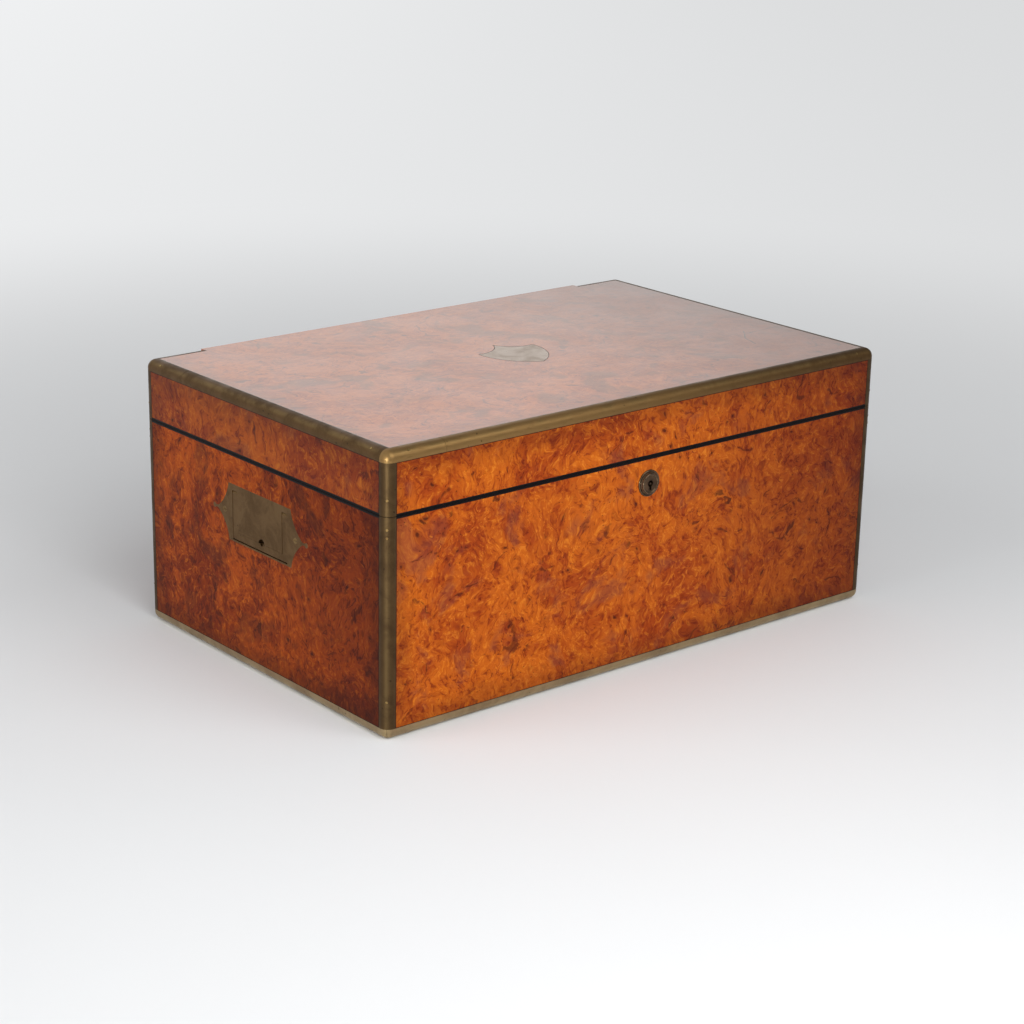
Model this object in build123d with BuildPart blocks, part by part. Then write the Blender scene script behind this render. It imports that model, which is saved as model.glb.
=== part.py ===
"""Brass-bound fitted dressing box, as an assembly of its separate pieces.

Millimetres, +Z up, +X along the long side, the front faces -Y.
The origin is the centre of the flat underside.
"""

import os
from math import cos, radians, sin

from build123d import *

# --- Case and lid: overall form -------------------------------------------------
box_width = 436.0  # X, left face to right face
box_depth = 277.0  # Y, front face to back face
box_height = 190.0  # Z, underside to top of lid
lid_height = 42.0  # middle of the joint to the top of the lid
seam_gap = 0.4  # air between the two rims when shut
edge_round = 6.0  # radius of every brass-bound edge

# --- Wood -----------------------------------------------------------------------
veneer = 1.0  # saw-cut burr veneer
wall = 11.0  # mahogany boards behind the veneer
bottom_thick = 10.0
top_thick = 8.0
lipping = 1.5  # ebony facing on both rims
wood_edge_round = 0.8  # bare veneered edge at the back of the lid
glue_line = 0.05  # between two glued or butted pieces

# --- Brass binding --------------------------------------------------------------
binding_leg = 7.5  # width of brass seen on each face
binding_depth = 3.0  # how deep the angle is let into the wood
cap_arm = 46.0  # reach of a corner cap along each edge
binding_joint = 0.15  # hairline where two lengths of binding meet
brad_radius = 0.8
brad_length = 5.0
brad_proud = 0.15
brad_clearance = 0.03
post_brads = (8.0, 13.3)  # below the case rim
post_foot_brad = 26.0  # above the underside
lid_post_brad = 10.5  # above the lid rim
cap_brad = 18.0  # from the corner, on each arm

# --- Screws ---------------------------------------------------------------------
screw_radius = 1.1
screw_head_radius = 2.05
screw_head_height = 1.1
screw_length = 8.0
screw_slot = 0.5
screw_clearance = 0.05

# --- Lid hinges -----------------------------------------------------------------
hinge_offset = 130.0  # from the middle of the box to the middle of a hinge
hinge_length = 58.0
hinge_leaf_width = 11.0
hinge_leaf_thick = 1.2
hinge_out = 0.4  # pin's centre behind the back face
hinge_knuckle_radius = 2.2
hinge_knuckles = 5
hinge_pin_radius = 1.0
running_clearance = 0.05  # pin in its hole, barrel in its nose
knuckle_clearance = 0.3
hinge_screw_pitch = 19.0
hinge_screw_share = 0.62  # of the leaf's width, in from the back face

# --- Lock -----------------------------------------------------------------------
nose_radius = 9.25
nose_sleeve_radius = 7.6
nose_proud = 2.6
nose_step = 1.0  # height of the outer ring
nose_bead = 1.1  # width of the outer ring
nose_lift = 0.5  # middle ring above the outer one
nose_lip_radius = 7.1
barrel_radius = 5.4
barrel_recess = 0.7  # below the rim of the nose
key_hole_radius = 2.2
key_hole_depth = 4.4
key_pin_radius = 0.75
key_slot = 0.9  # half width of the slot below the key hole
key_slot_margin = 0.7  # barrel left below the slot
lock_face_inset = 3.0  # wood and veneer left in front of the lock
lock_half_width = 30.0
lock_drop = 16.0  # lock case below the centre of the nose
lock_plate = 1.0
selvedge_half_width = 37.0
selvedge_inset = 2.5
lock_screw_offset = 33.5
cam_radius = 5.0  # of the eccentric pin's path
cam_pin_radius = 1.0
cam_rim = 0.8  # disc left outside the pin
cam_disc_thick = 1.5
cam_turn = 90.0  # degrees of key turn that throw the bolt
bolt_thick = 2.0
bolt_clearance = 0.3
bolt_wall = 2.0  # bolt left above the cam pin's slot
finger_height = 3.0
finger_riser = 3.0
hook_offset = 14.0  # each staple of the link plate from the middle
hook_thick = 2.0
hook_depth = 9.4  # reach below the lid rim
hook_wall = 1.2
hook_clearance = 0.5
link_half_width = 29.0
link_screw_offset = 23.0

# --- Carrying handles and drawer pull: flush bails in cartouche plates ----------
handle_drop = 41.0  # centre of the plate below the joint with the lid
handle_length = 110.0  # point to point
handle_plate_height = 40.0
handle_shoulder = 36.0  # half the length of the plate's straight edges
handle_point = 49.0  # where the hollow ends run out into a neck
handle_hollow = 1.7  # how far each end is hollowed, both ways
handle_neck = 0.9  # half height of the neck
handle_ball = 1.8  # radius of the round tip
handle_thick = 5.4
bail_thick = 3.4
bail_half_width = 31.5
bail_leg = 5.5
bail_grip = 5.4
bail_face_inset = 0.15
bail_clearance = 0.2
bail_margin = 1.4  # plate left below the grip
bail_pivot_drop = 6.4  # pivot below the plate's top edge
bail_top_round = 0.49  # radius over the pivot, as a share of the thickness
bail_foot_round = 0.3  # radius along the foot, as a share of the thickness
bail_pin_radius = 1.0
bail_pin_reach = 2.6
finger_nick = 3.4
nick_offset = 2.0  # along the grip from its middle
nick_bite = 1.6  # how deep the nick goes into the grip's face
nick_lip = 1 / 3  # of a leg's width, the nick in the bail is this much smaller
handle_screw_reach = 41.0
pull_scale = 0.5  # the drawer pull is the same pattern, smaller
pull_thick = 4.0
pull_pin_radius = 0.75
pull_screw_length = 4.0

# --- Shield on the lid ----------------------------------------------------------
shield_half_width = 24.5
shield_top = 27.0
shield_shoulder = 12.5
shield_foot = -28.0
shield_dip = 14.5  # height of the scallops between shoulder and top
shield_dip_x = 11.0
shield_side = (20.5, -8.0)  # a point on the swelling side

# --- Inside the case ------------------------------------------------------------
lining = 1.2  # velvet on its paper backing
lining_drop = 4.0  # below the rim
deck_height = 47.0  # underside of the board over the drawer
deck_thick = 4.0
rack_drop = 27.8  # top of the bottle rack below the case rim
rack_strip = 3.0
side_well = 64.0  # width of the wells at each end
row_well = 58.0  # depth of the wells at back and front
crossing_block = 8.0  # square posts where the partitions cross
ledge = 4.0
soft_gap = 0.4

# --- Drawer and its locking pin -------------------------------------------------
drawer_clearance = 0.4
drawer_side = 7.0
drawer_bottom = 3.0
drawer_back = 7.0
drawer_length = 300.0
drawer_divider = 4.0
drawer_bays = (0.36, 0.68)  # where its dividers stand, as shares of the length
guide_width = 10.0
pin_radius = 2.0
pin_clearance = 0.3
pin_travel = 6.0
pin_knob_radius = 3.8
pin_knob_height = 4.0
pin_knob_round = 1.0

# --- Lift-out tray --------------------------------------------------------------
tray_height = 24.0
tray_wall = 3.0
tray_floor = 2.0
tray_clearance = 0.8
tray_pad_height = 13.0
tray_pad_clearance = 1.0
tray_bays = (0.3, 0.7)  # where the two dividers stand, as shares of the length
tray_corner = 9.0
tray_pad_thin = 2.0

# --- Glass and plated caps ------------------------------------------------------
glass_margin = 4.0  # velvet seen round each vessel
glass_wall = 4.0
glass_floor = 5.0
glass_chamfer = 5.0
jar_drop = 11.8  # rim of a jar below the top of the rack
box_drop = 9.8  # rim of a long box below the top of the rack
lid_plate = 8.0  # plated lids of jars and long boxes
lid_skirt = 4.0  # their rims reach this far into the glass
lid_skirt_wall = 1.2
lid_edge = 1.5
cap_fit = 0.3
bottle_drop = 17.8  # shoulder of a bottle below the top of the rack
bottle_chamfer = 2.5
bottle_neck = 8.0
bottle_neck_radius = 11.0
bottle_bore_radius = 6.5
bottle_cap = 14.0
bottle_cap_radius = 16.0

# --- Mirror in the lid ----------------------------------------------------------
mirror_thick = 8.0
mirror_air = 3.8  # between the back of the mirror and the lid's pad
mirror_side_gap = 1.0
mirror_front_gap = 5.3
mirror_back_gap = 6.0
mirror_pivot_inset = 3.5  # pivot from the frame's back edge
mirror_border_x = 52.0
mirror_border_y = 30.0
mirror_glass_thick = 3.0
mirror_glass_inset = 1.0
mirror_glass_gap = 0.15
mirror_edge = 2.0  # glass left at the edge of the bevel
mirror_bevel = 12.0
mirror_pin_radius = 1.5
mirror_pin_depth = 8.0  # into the mirror's frame
mirror_pin_seat = 4.0  # into the lid's end board
lid_pad = 5.0
tab_width = 22.0  # leather pull under the mirror's front edge
tab_thick = 1.5
tab_seat = 12.0
tab_reach = 3.5
tab_round = 4.4

# --- Worked out -----------------------------------------------------------------
half_width = box_width / 2
half_depth = box_depth / 2
front, back = -half_depth, half_depth
seam_height = box_height - lid_height
case_rim = seam_height - seam_gap / 2
lid_rim = seam_height + seam_gap / 2
board_x = half_width - veneer  # outer faces of the boards
board_y = half_depth - veneer
inner_x = board_x - wall  # inner faces of the boards
inner_y = board_y - wall
case_board_top = case_rim - lipping
lid_board_foot = lid_rim + lipping
ceiling = box_height - veneer - top_thick
lined_x = inner_x - lining
lined_y = inner_y - lining
deck_top = deck_height + deck_thick
well_floor = deck_top + lining
rack_height = case_rim - rack_drop
cross_x = lined_x - side_well - rack_strip / 2  # centre lines of the long partitions
cross_y = lined_y - row_well - rack_strip / 2
drawer_half = cross_y + drawer_side / 2
drawer_floor = bottom_thick + drawer_clearance
drawer_top = deck_height - 2 * drawer_clearance
drawer_end = board_x - drawer_length
post_half = crossing_block / 2
strip_half = rack_strip / 2
end_in = cross_x + strip_half  # inner side of the end wells
row_in = cross_y + strip_half  # inner side of the front and back wells
centre_x = cross_x - strip_half
centre_y = cross_y - strip_half
tray_seat = rack_height - tray_height
jar_body = rack_height - jar_drop - well_floor
box_body = rack_height - box_drop - well_floor
bottle_shoulder = rack_height - bottle_drop
lock_back = front + veneer + wall
lock_front = front + lock_face_inset
slot_reach = cam_pin_radius + bolt_clearance
hook_foot = lid_rim - hook_depth
bolt_top = hook_foot - hook_clearance
lock_height = bolt_top - bolt_wall - slot_reach - cam_radius  # centre of the nose
cam_disc_radius = cam_radius + cam_pin_radius + cam_rim
handle_height = seam_height - handle_drop
hinge_leaf_y = back - hinge_leaf_width
hinge_y = back + hinge_out
mirror_top = ceiling - lid_pad - mirror_air
mirror_floor = mirror_top - mirror_thick
mirror_axis_z = mirror_floor + mirror_thick / 2
mirror_x = lined_x - mirror_side_gap
mirror_front = -lined_y + mirror_front_gap
mirror_back = lined_y - mirror_back_gap
mirror_axis_y = mirror_back - mirror_pivot_inset


def slab(xs, ys, zs, mode=Mode.ADD):
    """A block between three pairs of coordinates, in any order."""
    middle = [(a + b) / 2 for a, b in (xs, ys, zs)]
    sizes = [abs(b - a) for a, b in (xs, ys, zs)]
    with Locations(tuple(middle)):
        Box(*sizes, mode=mode)


def rod(start, direction, radius, length, mode=Mode.ADD):
    """A round bar from a point, along a direction."""
    with Locations(Plane(origin=start, z_dir=direction)):
        Cylinder(radius, length, align=(Align.CENTER, Align.CENTER, Align.MIN), mode=mode)


def finish(piece, name):
    piece.part.label = name
    export_step(piece.part, f"parts/{name}.step")


os.makedirs("parts", exist_ok=True)
sides = (-1, 1)
corners = [(sx, sy) for sx in sides for sy in sides]


# --- Shapes that several pieces share -------------------------------------------
def post_angle(sx, sy, zs):
    """Brass angle up a vertical edge."""
    xs = (sx * half_width, sx * (half_width - binding_leg))
    ys = (sy * half_depth, sy * (half_depth - binding_depth))
    slab(xs, ys, zs)
    xs = (sx * half_width, sx * (half_width - binding_depth))
    ys = (sy * half_depth, sy * (half_depth - binding_leg))
    slab(xs, ys, zs)


def long_angle(sy, xs, edge_z, inwards):
    """Brass angle along the front or back edge; inwards is the way into the box from edge_z."""
    ys = (sy * half_depth, sy * (half_depth - binding_depth))
    slab(xs, ys, (edge_z, edge_z + inwards * binding_leg))
    ys = (sy * half_depth, sy * (half_depth - binding_leg))
    slab(xs, ys, (edge_z, edge_z + inwards * binding_depth))


def end_angle(sx, ys, edge_z, inwards):
    """Brass angle along the left or right edge."""
    xs = (sx * half_width, sx * (half_width - binding_depth))
    slab(xs, ys, (edge_z, edge_z + inwards * binding_leg))
    xs = (sx * half_width, sx * (half_width - binding_leg))
    slab(xs, ys, (edge_z, edge_z + inwards * binding_depth))


def mitre(facing, reach, zs):
    """Plan of one side of a mitred frame, reach wide; facing is (0, -1) for the front."""
    fx, fy = facing
    if fy:
        outer = [(-half_width, fy * half_depth), (half_width, fy * half_depth)]
        inner = [(half_width - reach, fy * (half_depth - reach))]
        inner += [(reach - half_width, fy * (half_depth - reach))]
    else:
        outer = [(fx * half_width, -half_depth), (fx * half_width, half_depth)]
        inner = [(fx * (half_width - reach), half_depth - reach)]
        inner += [(fx * (half_width - reach), reach - half_depth)]
    with BuildPart(mode=Mode.PRIVATE) as region:
        with BuildSketch(Plane.XY.offset(zs[0])):
            with BuildLine():
                Polyline(*outer, *inner, close=True)
            make_face()
        extrude(amount=zs[1] - zs[0])
    return region.part


def mitre_lines(zs, reach):
    """Hairline saw cuts across the four corners of a mitred frame."""
    for sx, sy in corners:
        place = Location((sx * half_width, sy * half_depth, sum(zs) / 2), (0, 0, sx * sy * 45))
        across = 4 * reach  # longer than the corner's diagonal, both ways
        with Locations(place):
            Box(across, binding_joint, zs[1] - zs[0], mode=Mode.SUBTRACT)


def screw(plane, length=screw_length):
    """A countersunk screw whose head lies flush in a plane and whose thread runs down -Z of it."""
    with Locations(plane):
        with Locations((0, 0, -screw_head_height)):
            Cone(
                screw_radius,
                screw_head_radius,
                screw_head_height,
                align=(Align.CENTER, Align.CENTER, Align.MIN),
            )
            Cylinder(screw_radius, length, align=(Align.CENTER, Align.CENTER, Align.MAX))
        Box(
            2 * screw_head_radius,
            screw_slot,
            screw_slot,
            align=(Align.CENTER, Align.CENTER, Align.MAX),
            mode=Mode.SUBTRACT,
        )


def screw_hole(plane, length=screw_length):
    """Clearance for one screw, cut from whatever it passes through."""
    with Locations(plane):
        with Locations((0, 0, -screw_head_height)):
            Cone(
                screw_radius + screw_clearance,
                screw_head_radius + screw_clearance,
                screw_head_height,
                align=(Align.CENTER, Align.CENTER, Align.MIN),
                mode=Mode.SUBTRACT,
            )
            Cylinder(
                screw_radius + screw_clearance,
                length + screw_clearance,
                align=(Align.CENTER, Align.CENTER, Align.MAX),
                mode=Mode.SUBTRACT,
            )


with BuildPart() as rounded_block:
    Box(box_width, box_depth, box_height, align=(Align.CENTER, Align.CENTER, Align.MIN))
    fillet(rounded_block.edges(), edge_round)

post_zs = (binding_leg, case_rim)

with BuildPart() as case_binding_space:
    for sx, sy in corners:
        post_angle(sx, sy, (0, case_rim))
    for s in sides:
        long_angle(s, (-half_width, half_width), 0, 1)
        end_angle(s, (-half_depth, half_depth), 0, 1)

with BuildPart() as lid_binding_space:
    for sx, sy in corners:
        post_angle(sx, sy, (lid_rim, box_height))
        long_angle(sy, (sx * half_width, sx * (half_width - cap_arm)), box_height, -1)
    long_angle(-1, (-half_width, half_width), box_height, -1)
    for s in sides:
        end_angle(s, (-half_depth, half_depth), box_height, -1)

# --- Fixings: where each brad and screw stands -----------------------------------
round_inset = edge_round * (1 - cos(radians(45)))


def post_brad(sx, sy, z):
    point = (sx * (half_width - round_inset), sy * (half_depth - round_inset), z)
    return Plane(origin=point, z_dir=(sx, sy, 0))


case_brads = [
    post_brad(sx, sy, z)
    for sx, sy in corners
    for z in (*[case_rim - drop for drop in post_brads], post_foot_brad)
]
lid_brads = [post_brad(sx, sy, lid_rim + lid_post_brad) for sx, sy in corners]
brad_z = box_height - round_inset
for sx, sy in corners:
    point = (sx * (half_width - cap_brad), sy * (half_depth - round_inset), brad_z)
    lid_brads.append(Plane(origin=point, z_dir=(0, sy, 1)))
    point = (sx * (half_width - round_inset), sy * (half_depth - cap_brad), brad_z)
    lid_brads.append(Plane(origin=point, z_dir=(sx, 0, 1)))

hinge_screw_y = back - hinge_leaf_width * hinge_screw_share
hinge_screw_xs = [
    s * hinge_offset + k * hinge_screw_pitch for s in sides for k in (-1, 0, 1)
]
lock_plate_y = (front + selvedge_inset + lock_back) / 2
case_screw_planes = [
    Plane(origin=(x, hinge_screw_y, case_rim), z_dir=(0, 0, 1)) for x in hinge_screw_xs
] + [
    Plane(origin=(s * lock_screw_offset, lock_plate_y, case_rim), z_dir=(0, 0, 1))
    for s in sides
]
lid_screw_planes = [
    Plane(origin=(x, hinge_screw_y, lid_rim), z_dir=(0, 0, -1)) for x in hinge_screw_xs
] + [
    Plane(origin=(s * link_screw_offset, lock_plate_y, lid_rim), z_dir=(0, 0, -1))
    for s in sides
]


def brads(planes):
    """Brass pins along the -Z of each plane, filed off just proud of the binding."""
    for plane in planes:
        with Locations(plane):
            with Locations((0, 0, brad_proud)):
                Cylinder(
                    brad_radius,
                    brad_length,
                    align=(Align.CENTER, Align.CENTER, Align.MAX),
                )


def brad_holes(planes):
    for plane in planes:
        with Locations(plane):
            with Locations((0, 0, brad_proud)):
                Cylinder(
                    brad_radius + brad_clearance,
                    brad_length + brad_clearance,
                    align=(Align.CENTER, Align.CENTER, Align.MAX),
                    mode=Mode.SUBTRACT,
                )


def hinge_recess():
    """Room for both hinge barrels, cut from the wood on either side of the seam."""
    for s in sides:
        start = (s * hinge_offset - hinge_length / 2 - knuckle_clearance, hinge_y, seam_height)
        radius = hinge_knuckle_radius + knuckle_clearance
        rod(start, (1, 0, 0), radius, hinge_length + 2 * knuckle_clearance, Mode.SUBTRACT)


def leaf_recess(zs):
    """Room for both hinge leaves in one of the rims."""
    for s in sides:
        xs = (s * hinge_offset - hinge_length / 2, s * hinge_offset + hinge_length / 2)
        slab(xs, (hinge_leaf_y, back), zs, Mode.SUBTRACT)


# --- Flush handles ---------------------------------------------------------------
class HandlePattern:
    """Sizes of one flush handle; share shrinks the outline, thick is the casting's depth."""

    def __init__(self, share, thick, pin_radius):
        self.share = share
        self.half_length = handle_length / 2 * share
        self.half_height = handle_plate_height / 2 * share
        self.shoulder = handle_shoulder * share
        self.point = handle_point * share
        self.hollow = handle_hollow * share
        self.neck = handle_neck * share
        self.ball = handle_ball * share
        self.thick = thick
        self.bail_half = bail_half_width * share
        self.leg = bail_leg * share
        self.grip = bail_grip * share
        self.bail_thick = thick - (handle_thick - bail_thick)
        self.pivot_y = self.half_height - bail_pivot_drop * share
        self.foot_y = -self.half_height + bail_margin * share
        self.axis_depth = bail_face_inset + self.bail_thick / 2
        self.pocket = self.axis_depth + self.bail_thick / 2 + bail_clearance
        self.pin_radius = pin_radius
        self.pin_reach = bail_pin_reach * share
        self.nick = finger_nick * share
        self.nick_x = nick_offset * share
        self.nick_bite = nick_bite * share
        self.bail_nick = self.nick - nick_lip * self.leg
        self.screw_reach = handle_screw_reach * share


carry = HandlePattern(1.0, handle_thick, bail_pin_radius)
pull = HandlePattern(pull_scale, pull_thick, pull_pin_radius)


def cartouche(pattern):
    """Outline of a handle plate: straight top and foot, hollow ends, a neck and a ball at each."""
    with BuildSketch(mode=Mode.PRIVATE) as outline:
        with BuildLine():
            for sy in sides:
                ends = [(sx * pattern.shoulder, sy * pattern.half_height) for sx in sides]
                Line(*ends)
                for sx in sides:
                    start = (sx * pattern.shoulder, sy * pattern.half_height)
                    end = (sx * pattern.point, sy * pattern.neck)
                    middle_x = sx * ((pattern.shoulder + pattern.point) / 2 - pattern.hollow)
                    middle_y = sy * ((pattern.half_height + pattern.neck) / 2 - pattern.hollow)
                    ThreePointArc(start, (middle_x, middle_y), end)
            for sx in sides:
                end_x = sx * pattern.point
                Line((end_x, pattern.neck), (end_x, -pattern.neck))
        make_face()
        ball_x = pattern.half_length - pattern.ball
        Rectangle(2 * ball_x, 2 * pattern.neck)
        with Locations((ball_x, 0), (-ball_x, 0)):
            Circle(pattern.ball)
    return outline.sketch


def bail_outline(pattern, grow):
    """The bail as seen from outside: two legs up to the pivot and a grip across the foot."""
    top = pattern.pivot_y + pattern.bail_thick / 2 + grow
    foot = pattern.foot_y - grow
    outer = pattern.bail_half + grow
    inner = pattern.bail_half - pattern.leg - grow
    step = pattern.foot_y + pattern.grip + grow
    with BuildSketch(mode=Mode.PRIVATE) as outline:
        with BuildLine():
            Polyline(
                (-outer, top),
                (-inner, top),
                (-inner, step),
                (inner, step),
                (inner, top),
                (outer, top),
                (outer, foot),
                (-outer, foot),
                close=True,
            )
        make_face()
    return outline.sketch


def handle_space(plane, pattern):
    """The recess that a handle plate is let into."""
    with BuildPart(mode=Mode.PRIVATE) as space:
        with BuildSketch(plane):
            add(cartouche(pattern))
        extrude(amount=-pattern.thick)
    return space.part


def handle_screws(plane, pattern):
    """Planes of the two screws, one in each pointed end."""
    return [
        plane * Plane(origin=(s * pattern.screw_reach, 0, 0), z_dir=(0, 0, 1)) for s in sides
    ]


def handle_plate(plane, pattern):
    """Cartouche plate with the bed of its bail, a finger nick and two screw holes."""
    with BuildPart() as plate:
        with BuildSketch(plane):
            add(cartouche(pattern))
        extrude(amount=-pattern.thick)
        with BuildSketch(plane):
            add(bail_outline(pattern, bail_clearance))
        extrude(amount=-pattern.pocket, mode=Mode.SUBTRACT)
        with BuildSketch(plane):
            with Locations((pattern.nick_x, pattern.foot_y + pattern.grip)):
                Circle(pattern.nick)
        extrude(amount=-pattern.pocket, mode=Mode.SUBTRACT)
        reach = pattern.bail_half + pattern.pin_reach
        with Locations(plane):
            with Locations((0, pattern.pivot_y, -pattern.axis_depth)):
                Cylinder(
                    pattern.pin_radius + running_clearance,
                    2 * reach,
                    rotation=(0, 90, 0),
                    mode=Mode.SUBTRACT,
                )
        for spot in handle_screws(plane, pattern):
            screw_hole(spot)
    return plate


def handle_bail(plane, pattern):
    """U-shaped bail, lying in its plate; its legs are round about the pivot."""
    with BuildPart() as bail:
        with BuildSketch(plane.offset(-bail_face_inset)):
            add(bail_outline(pattern, 0))
        extrude(amount=-pattern.bail_thick)
        tops = bail.edges().filter_by(Axis.Y).group_by(Axis.Z)[-1]
        fillet(tops, pattern.bail_thick * bail_top_round)
        feet = bail.edges().filter_by(Axis.Y).group_by(Axis.Z)[0]
        fillet(feet, pattern.bail_thick * bail_foot_round)
        with BuildSketch(plane):
            with Locations((pattern.nick_x, pattern.foot_y + pattern.grip)):
                Circle(pattern.bail_nick)
        extrude(amount=-pattern.nick_bite, mode=Mode.SUBTRACT)
        with Locations(plane):
            with Locations((0, pattern.pivot_y, -pattern.axis_depth)):
                Cylinder(
                    pattern.pin_radius + running_clearance,
                    2 * (pattern.bail_half + pattern.leg),
                    rotation=(0, 90, 0),
                    mode=Mode.SUBTRACT,
                )
    return bail


def pivot_pins(plane, pattern):
    """Two steel pins, each through one leg and into both cheeks of the plate."""
    inner = pattern.bail_half - pattern.leg - pattern.pin_reach
    outer = pattern.bail_half + pattern.pin_reach
    for s in sides:
        with Locations(plane):
            with Locations((s * (inner + outer) / 2, pattern.pivot_y, -pattern.axis_depth)):
                Cylinder(pattern.pin_radius, outer - inner, rotation=(0, 90, 0))


left_plane = Plane(
    origin=(-half_width, 0, handle_height), x_dir=(0, -1, 0), z_dir=(-1, 0, 0)
)
right_plane = Plane(
    origin=(half_width, 0, handle_height), x_dir=(0, 1, 0), z_dir=(1, 0, 0)
)
pull_plane = Plane(
    origin=(half_width, 0, (drawer_floor + drawer_top) / 2),
    x_dir=(0, 1, 0),
    z_dir=(1, 0, 0),
)
side_handles = {"left": left_plane, "right": right_plane}
for plane in side_handles.values():
    case_screw_planes += handle_screws(plane, carry)
drawer_screw_planes = handle_screws(pull_plane, pull)

# The opening for the drawer in the right-hand end.
drawer_hole_ys = (-drawer_half - drawer_clearance, drawer_half + drawer_clearance)
drawer_hole_zs = (drawer_floor - drawer_clearance, drawer_top + drawer_clearance)

# --- Case: boards ----------------------------------------------------------------
board_zs = (bottom_thick, case_board_top)
lock_mortise_xs = (-lock_half_width, lock_half_width)
lock_foot = lock_height - lock_drop

with BuildPart() as case_front_board:
    slab((-board_x, board_x), (-board_y, -inner_y), board_zs)
    add(case_binding_space.part, mode=Mode.SUBTRACT)
    slab(lock_mortise_xs, (lock_front, lock_back), (lock_foot, case_board_top), Mode.SUBTRACT)
    rod((0, front, lock_height), (0, 1, 0), nose_sleeve_radius, lock_face_inset, Mode.SUBTRACT)
    for plane in case_screw_planes:
        screw_hole(plane)
    brad_holes(case_brads)
finish(case_front_board, "case_front_board")

with BuildPart() as case_back_board:
    slab((-board_x, board_x), (inner_y, board_y), board_zs)
    add(case_binding_space.part, mode=Mode.SUBTRACT)
    hinge_recess()
    for plane in case_screw_planes:
        screw_hole(plane)
    brad_holes(case_brads)
finish(case_back_board, "case_back_board")

for name, sx in (("left", -1), ("right", 1)):
    with BuildPart() as end_board:
        slab((sx * inner_x, sx * board_x), (-inner_y, inner_y), board_zs)
        add(handle_space(side_handles[name], carry), mode=Mode.SUBTRACT)
        if sx > 0:
            slab((inner_x, board_x), drawer_hole_ys, drawer_hole_zs, Mode.SUBTRACT)
        for plane in case_screw_planes:
            screw_hole(plane)
    finish(end_board, f"case_{name}_board")

with BuildPart() as case_bottom_board:
    slab((-board_x, board_x), (-board_y, board_y), (0, bottom_thick))
    add(case_binding_space.part, mode=Mode.SUBTRACT)
finish(case_bottom_board, "case_bottom_board")

# --- Case: veneers ---------------------------------------------------------------
veneer_zs = (0, case_board_top)
for name, sy in (("front", -1), ("back", 1)):
    with BuildPart() as sheet:
        slab((-half_width, half_width), (sy * board_y, sy * half_depth), veneer_zs)
        add(case_binding_space.part, mode=Mode.SUBTRACT)
        if sy < 0:
            start = (0, front, lock_height)
            rod(start, (0, 1, 0), nose_sleeve_radius, veneer, Mode.SUBTRACT)
        else:
            hinge_recess()
    finish(sheet, f"case_{name}_veneer")

for name, sx in (("left", -1), ("right", 1)):
    with BuildPart() as sheet:
        slab((sx * board_x, sx * half_width), (-half_depth, half_depth), veneer_zs)
        add(case_binding_space.part, mode=Mode.SUBTRACT)
        add(handle_space(side_handles[name], carry), mode=Mode.SUBTRACT)
        if sx > 0:
            slab((board_x, half_width), drawer_hole_ys, drawer_hole_zs, Mode.SUBTRACT)
    finish(sheet, f"case_{name}_veneer")

# --- Ebony rims ------------------------------------------------------------------
lipping_width = veneer + wall
facings = ((0, -1), (0, 1), (-1, 0), (1, 0))
lock_cut_ys = (front + selvedge_inset, lock_back)


def rim_lipping(zs, binding, plate_half, screws):
    with BuildPart() as rim:
        for facing in facings:
            add(mitre(facing, lipping_width, zs))
        mitre_lines(zs, lipping_width)
        add(binding, mode=Mode.SUBTRACT)
        hinge_recess()
        leaf_recess(leaf_zs(zs))
        slab((-plate_half, plate_half), lock_cut_ys, zs, Mode.SUBTRACT)
        for plane in screws:
            screw_hole(plane)
    return rim


def leaf_zs(zs):
    """The hinge leaf's share of the rim's thickness, measured from the seam."""
    low, high = zs
    if low < seam_height:
        return (high - hinge_leaf_thick, high)
    return (low, low + hinge_leaf_thick)


case_lipping_zs = (case_board_top, case_rim)
lid_lipping_zs = (lid_rim, lid_board_foot)
case_rim_lipping = rim_lipping(
    case_lipping_zs, case_binding_space.part, selvedge_half_width, case_screw_planes
)
finish(case_rim_lipping, "case_rim_lipping")

# --- Case: brass binding ---------------------------------------------------------
with BuildPart() as case_corner_posts:
    for sx, sy in corners:
        post_angle(sx, sy, post_zs)
    add(rounded_block.part, mode=Mode.INTERSECT)
    brad_holes(case_brads)
finish(case_corner_posts, "case_corner_posts")

with BuildPart() as bottom_binding:
    for s in sides:
        long_angle(s, (-half_width, half_width), 0, 1)
        end_angle(s, (-half_depth, half_depth), 0, 1)
    add(rounded_block.part, mode=Mode.INTERSECT)
    mitre_lines((0, binding_leg), binding_leg)
finish(bottom_binding, "bottom_binding")

with BuildPart() as case_pins_and_screws:
    brads(case_brads)
    for plane in case_screw_planes:
        screw(plane)
finish(case_pins_and_screws, "case_pins_and_screws")

# --- Lid hinges --------------------------------------------------------------------
def knuckle_span(s, index):
    """X range of one knuckle of the hinge on side s."""
    pitch = hinge_length / hinge_knuckles
    start = s * hinge_offset - hinge_length / 2 + index * pitch
    return (start + knuckle_clearance / 2, start + pitch - knuckle_clearance / 2)


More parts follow.
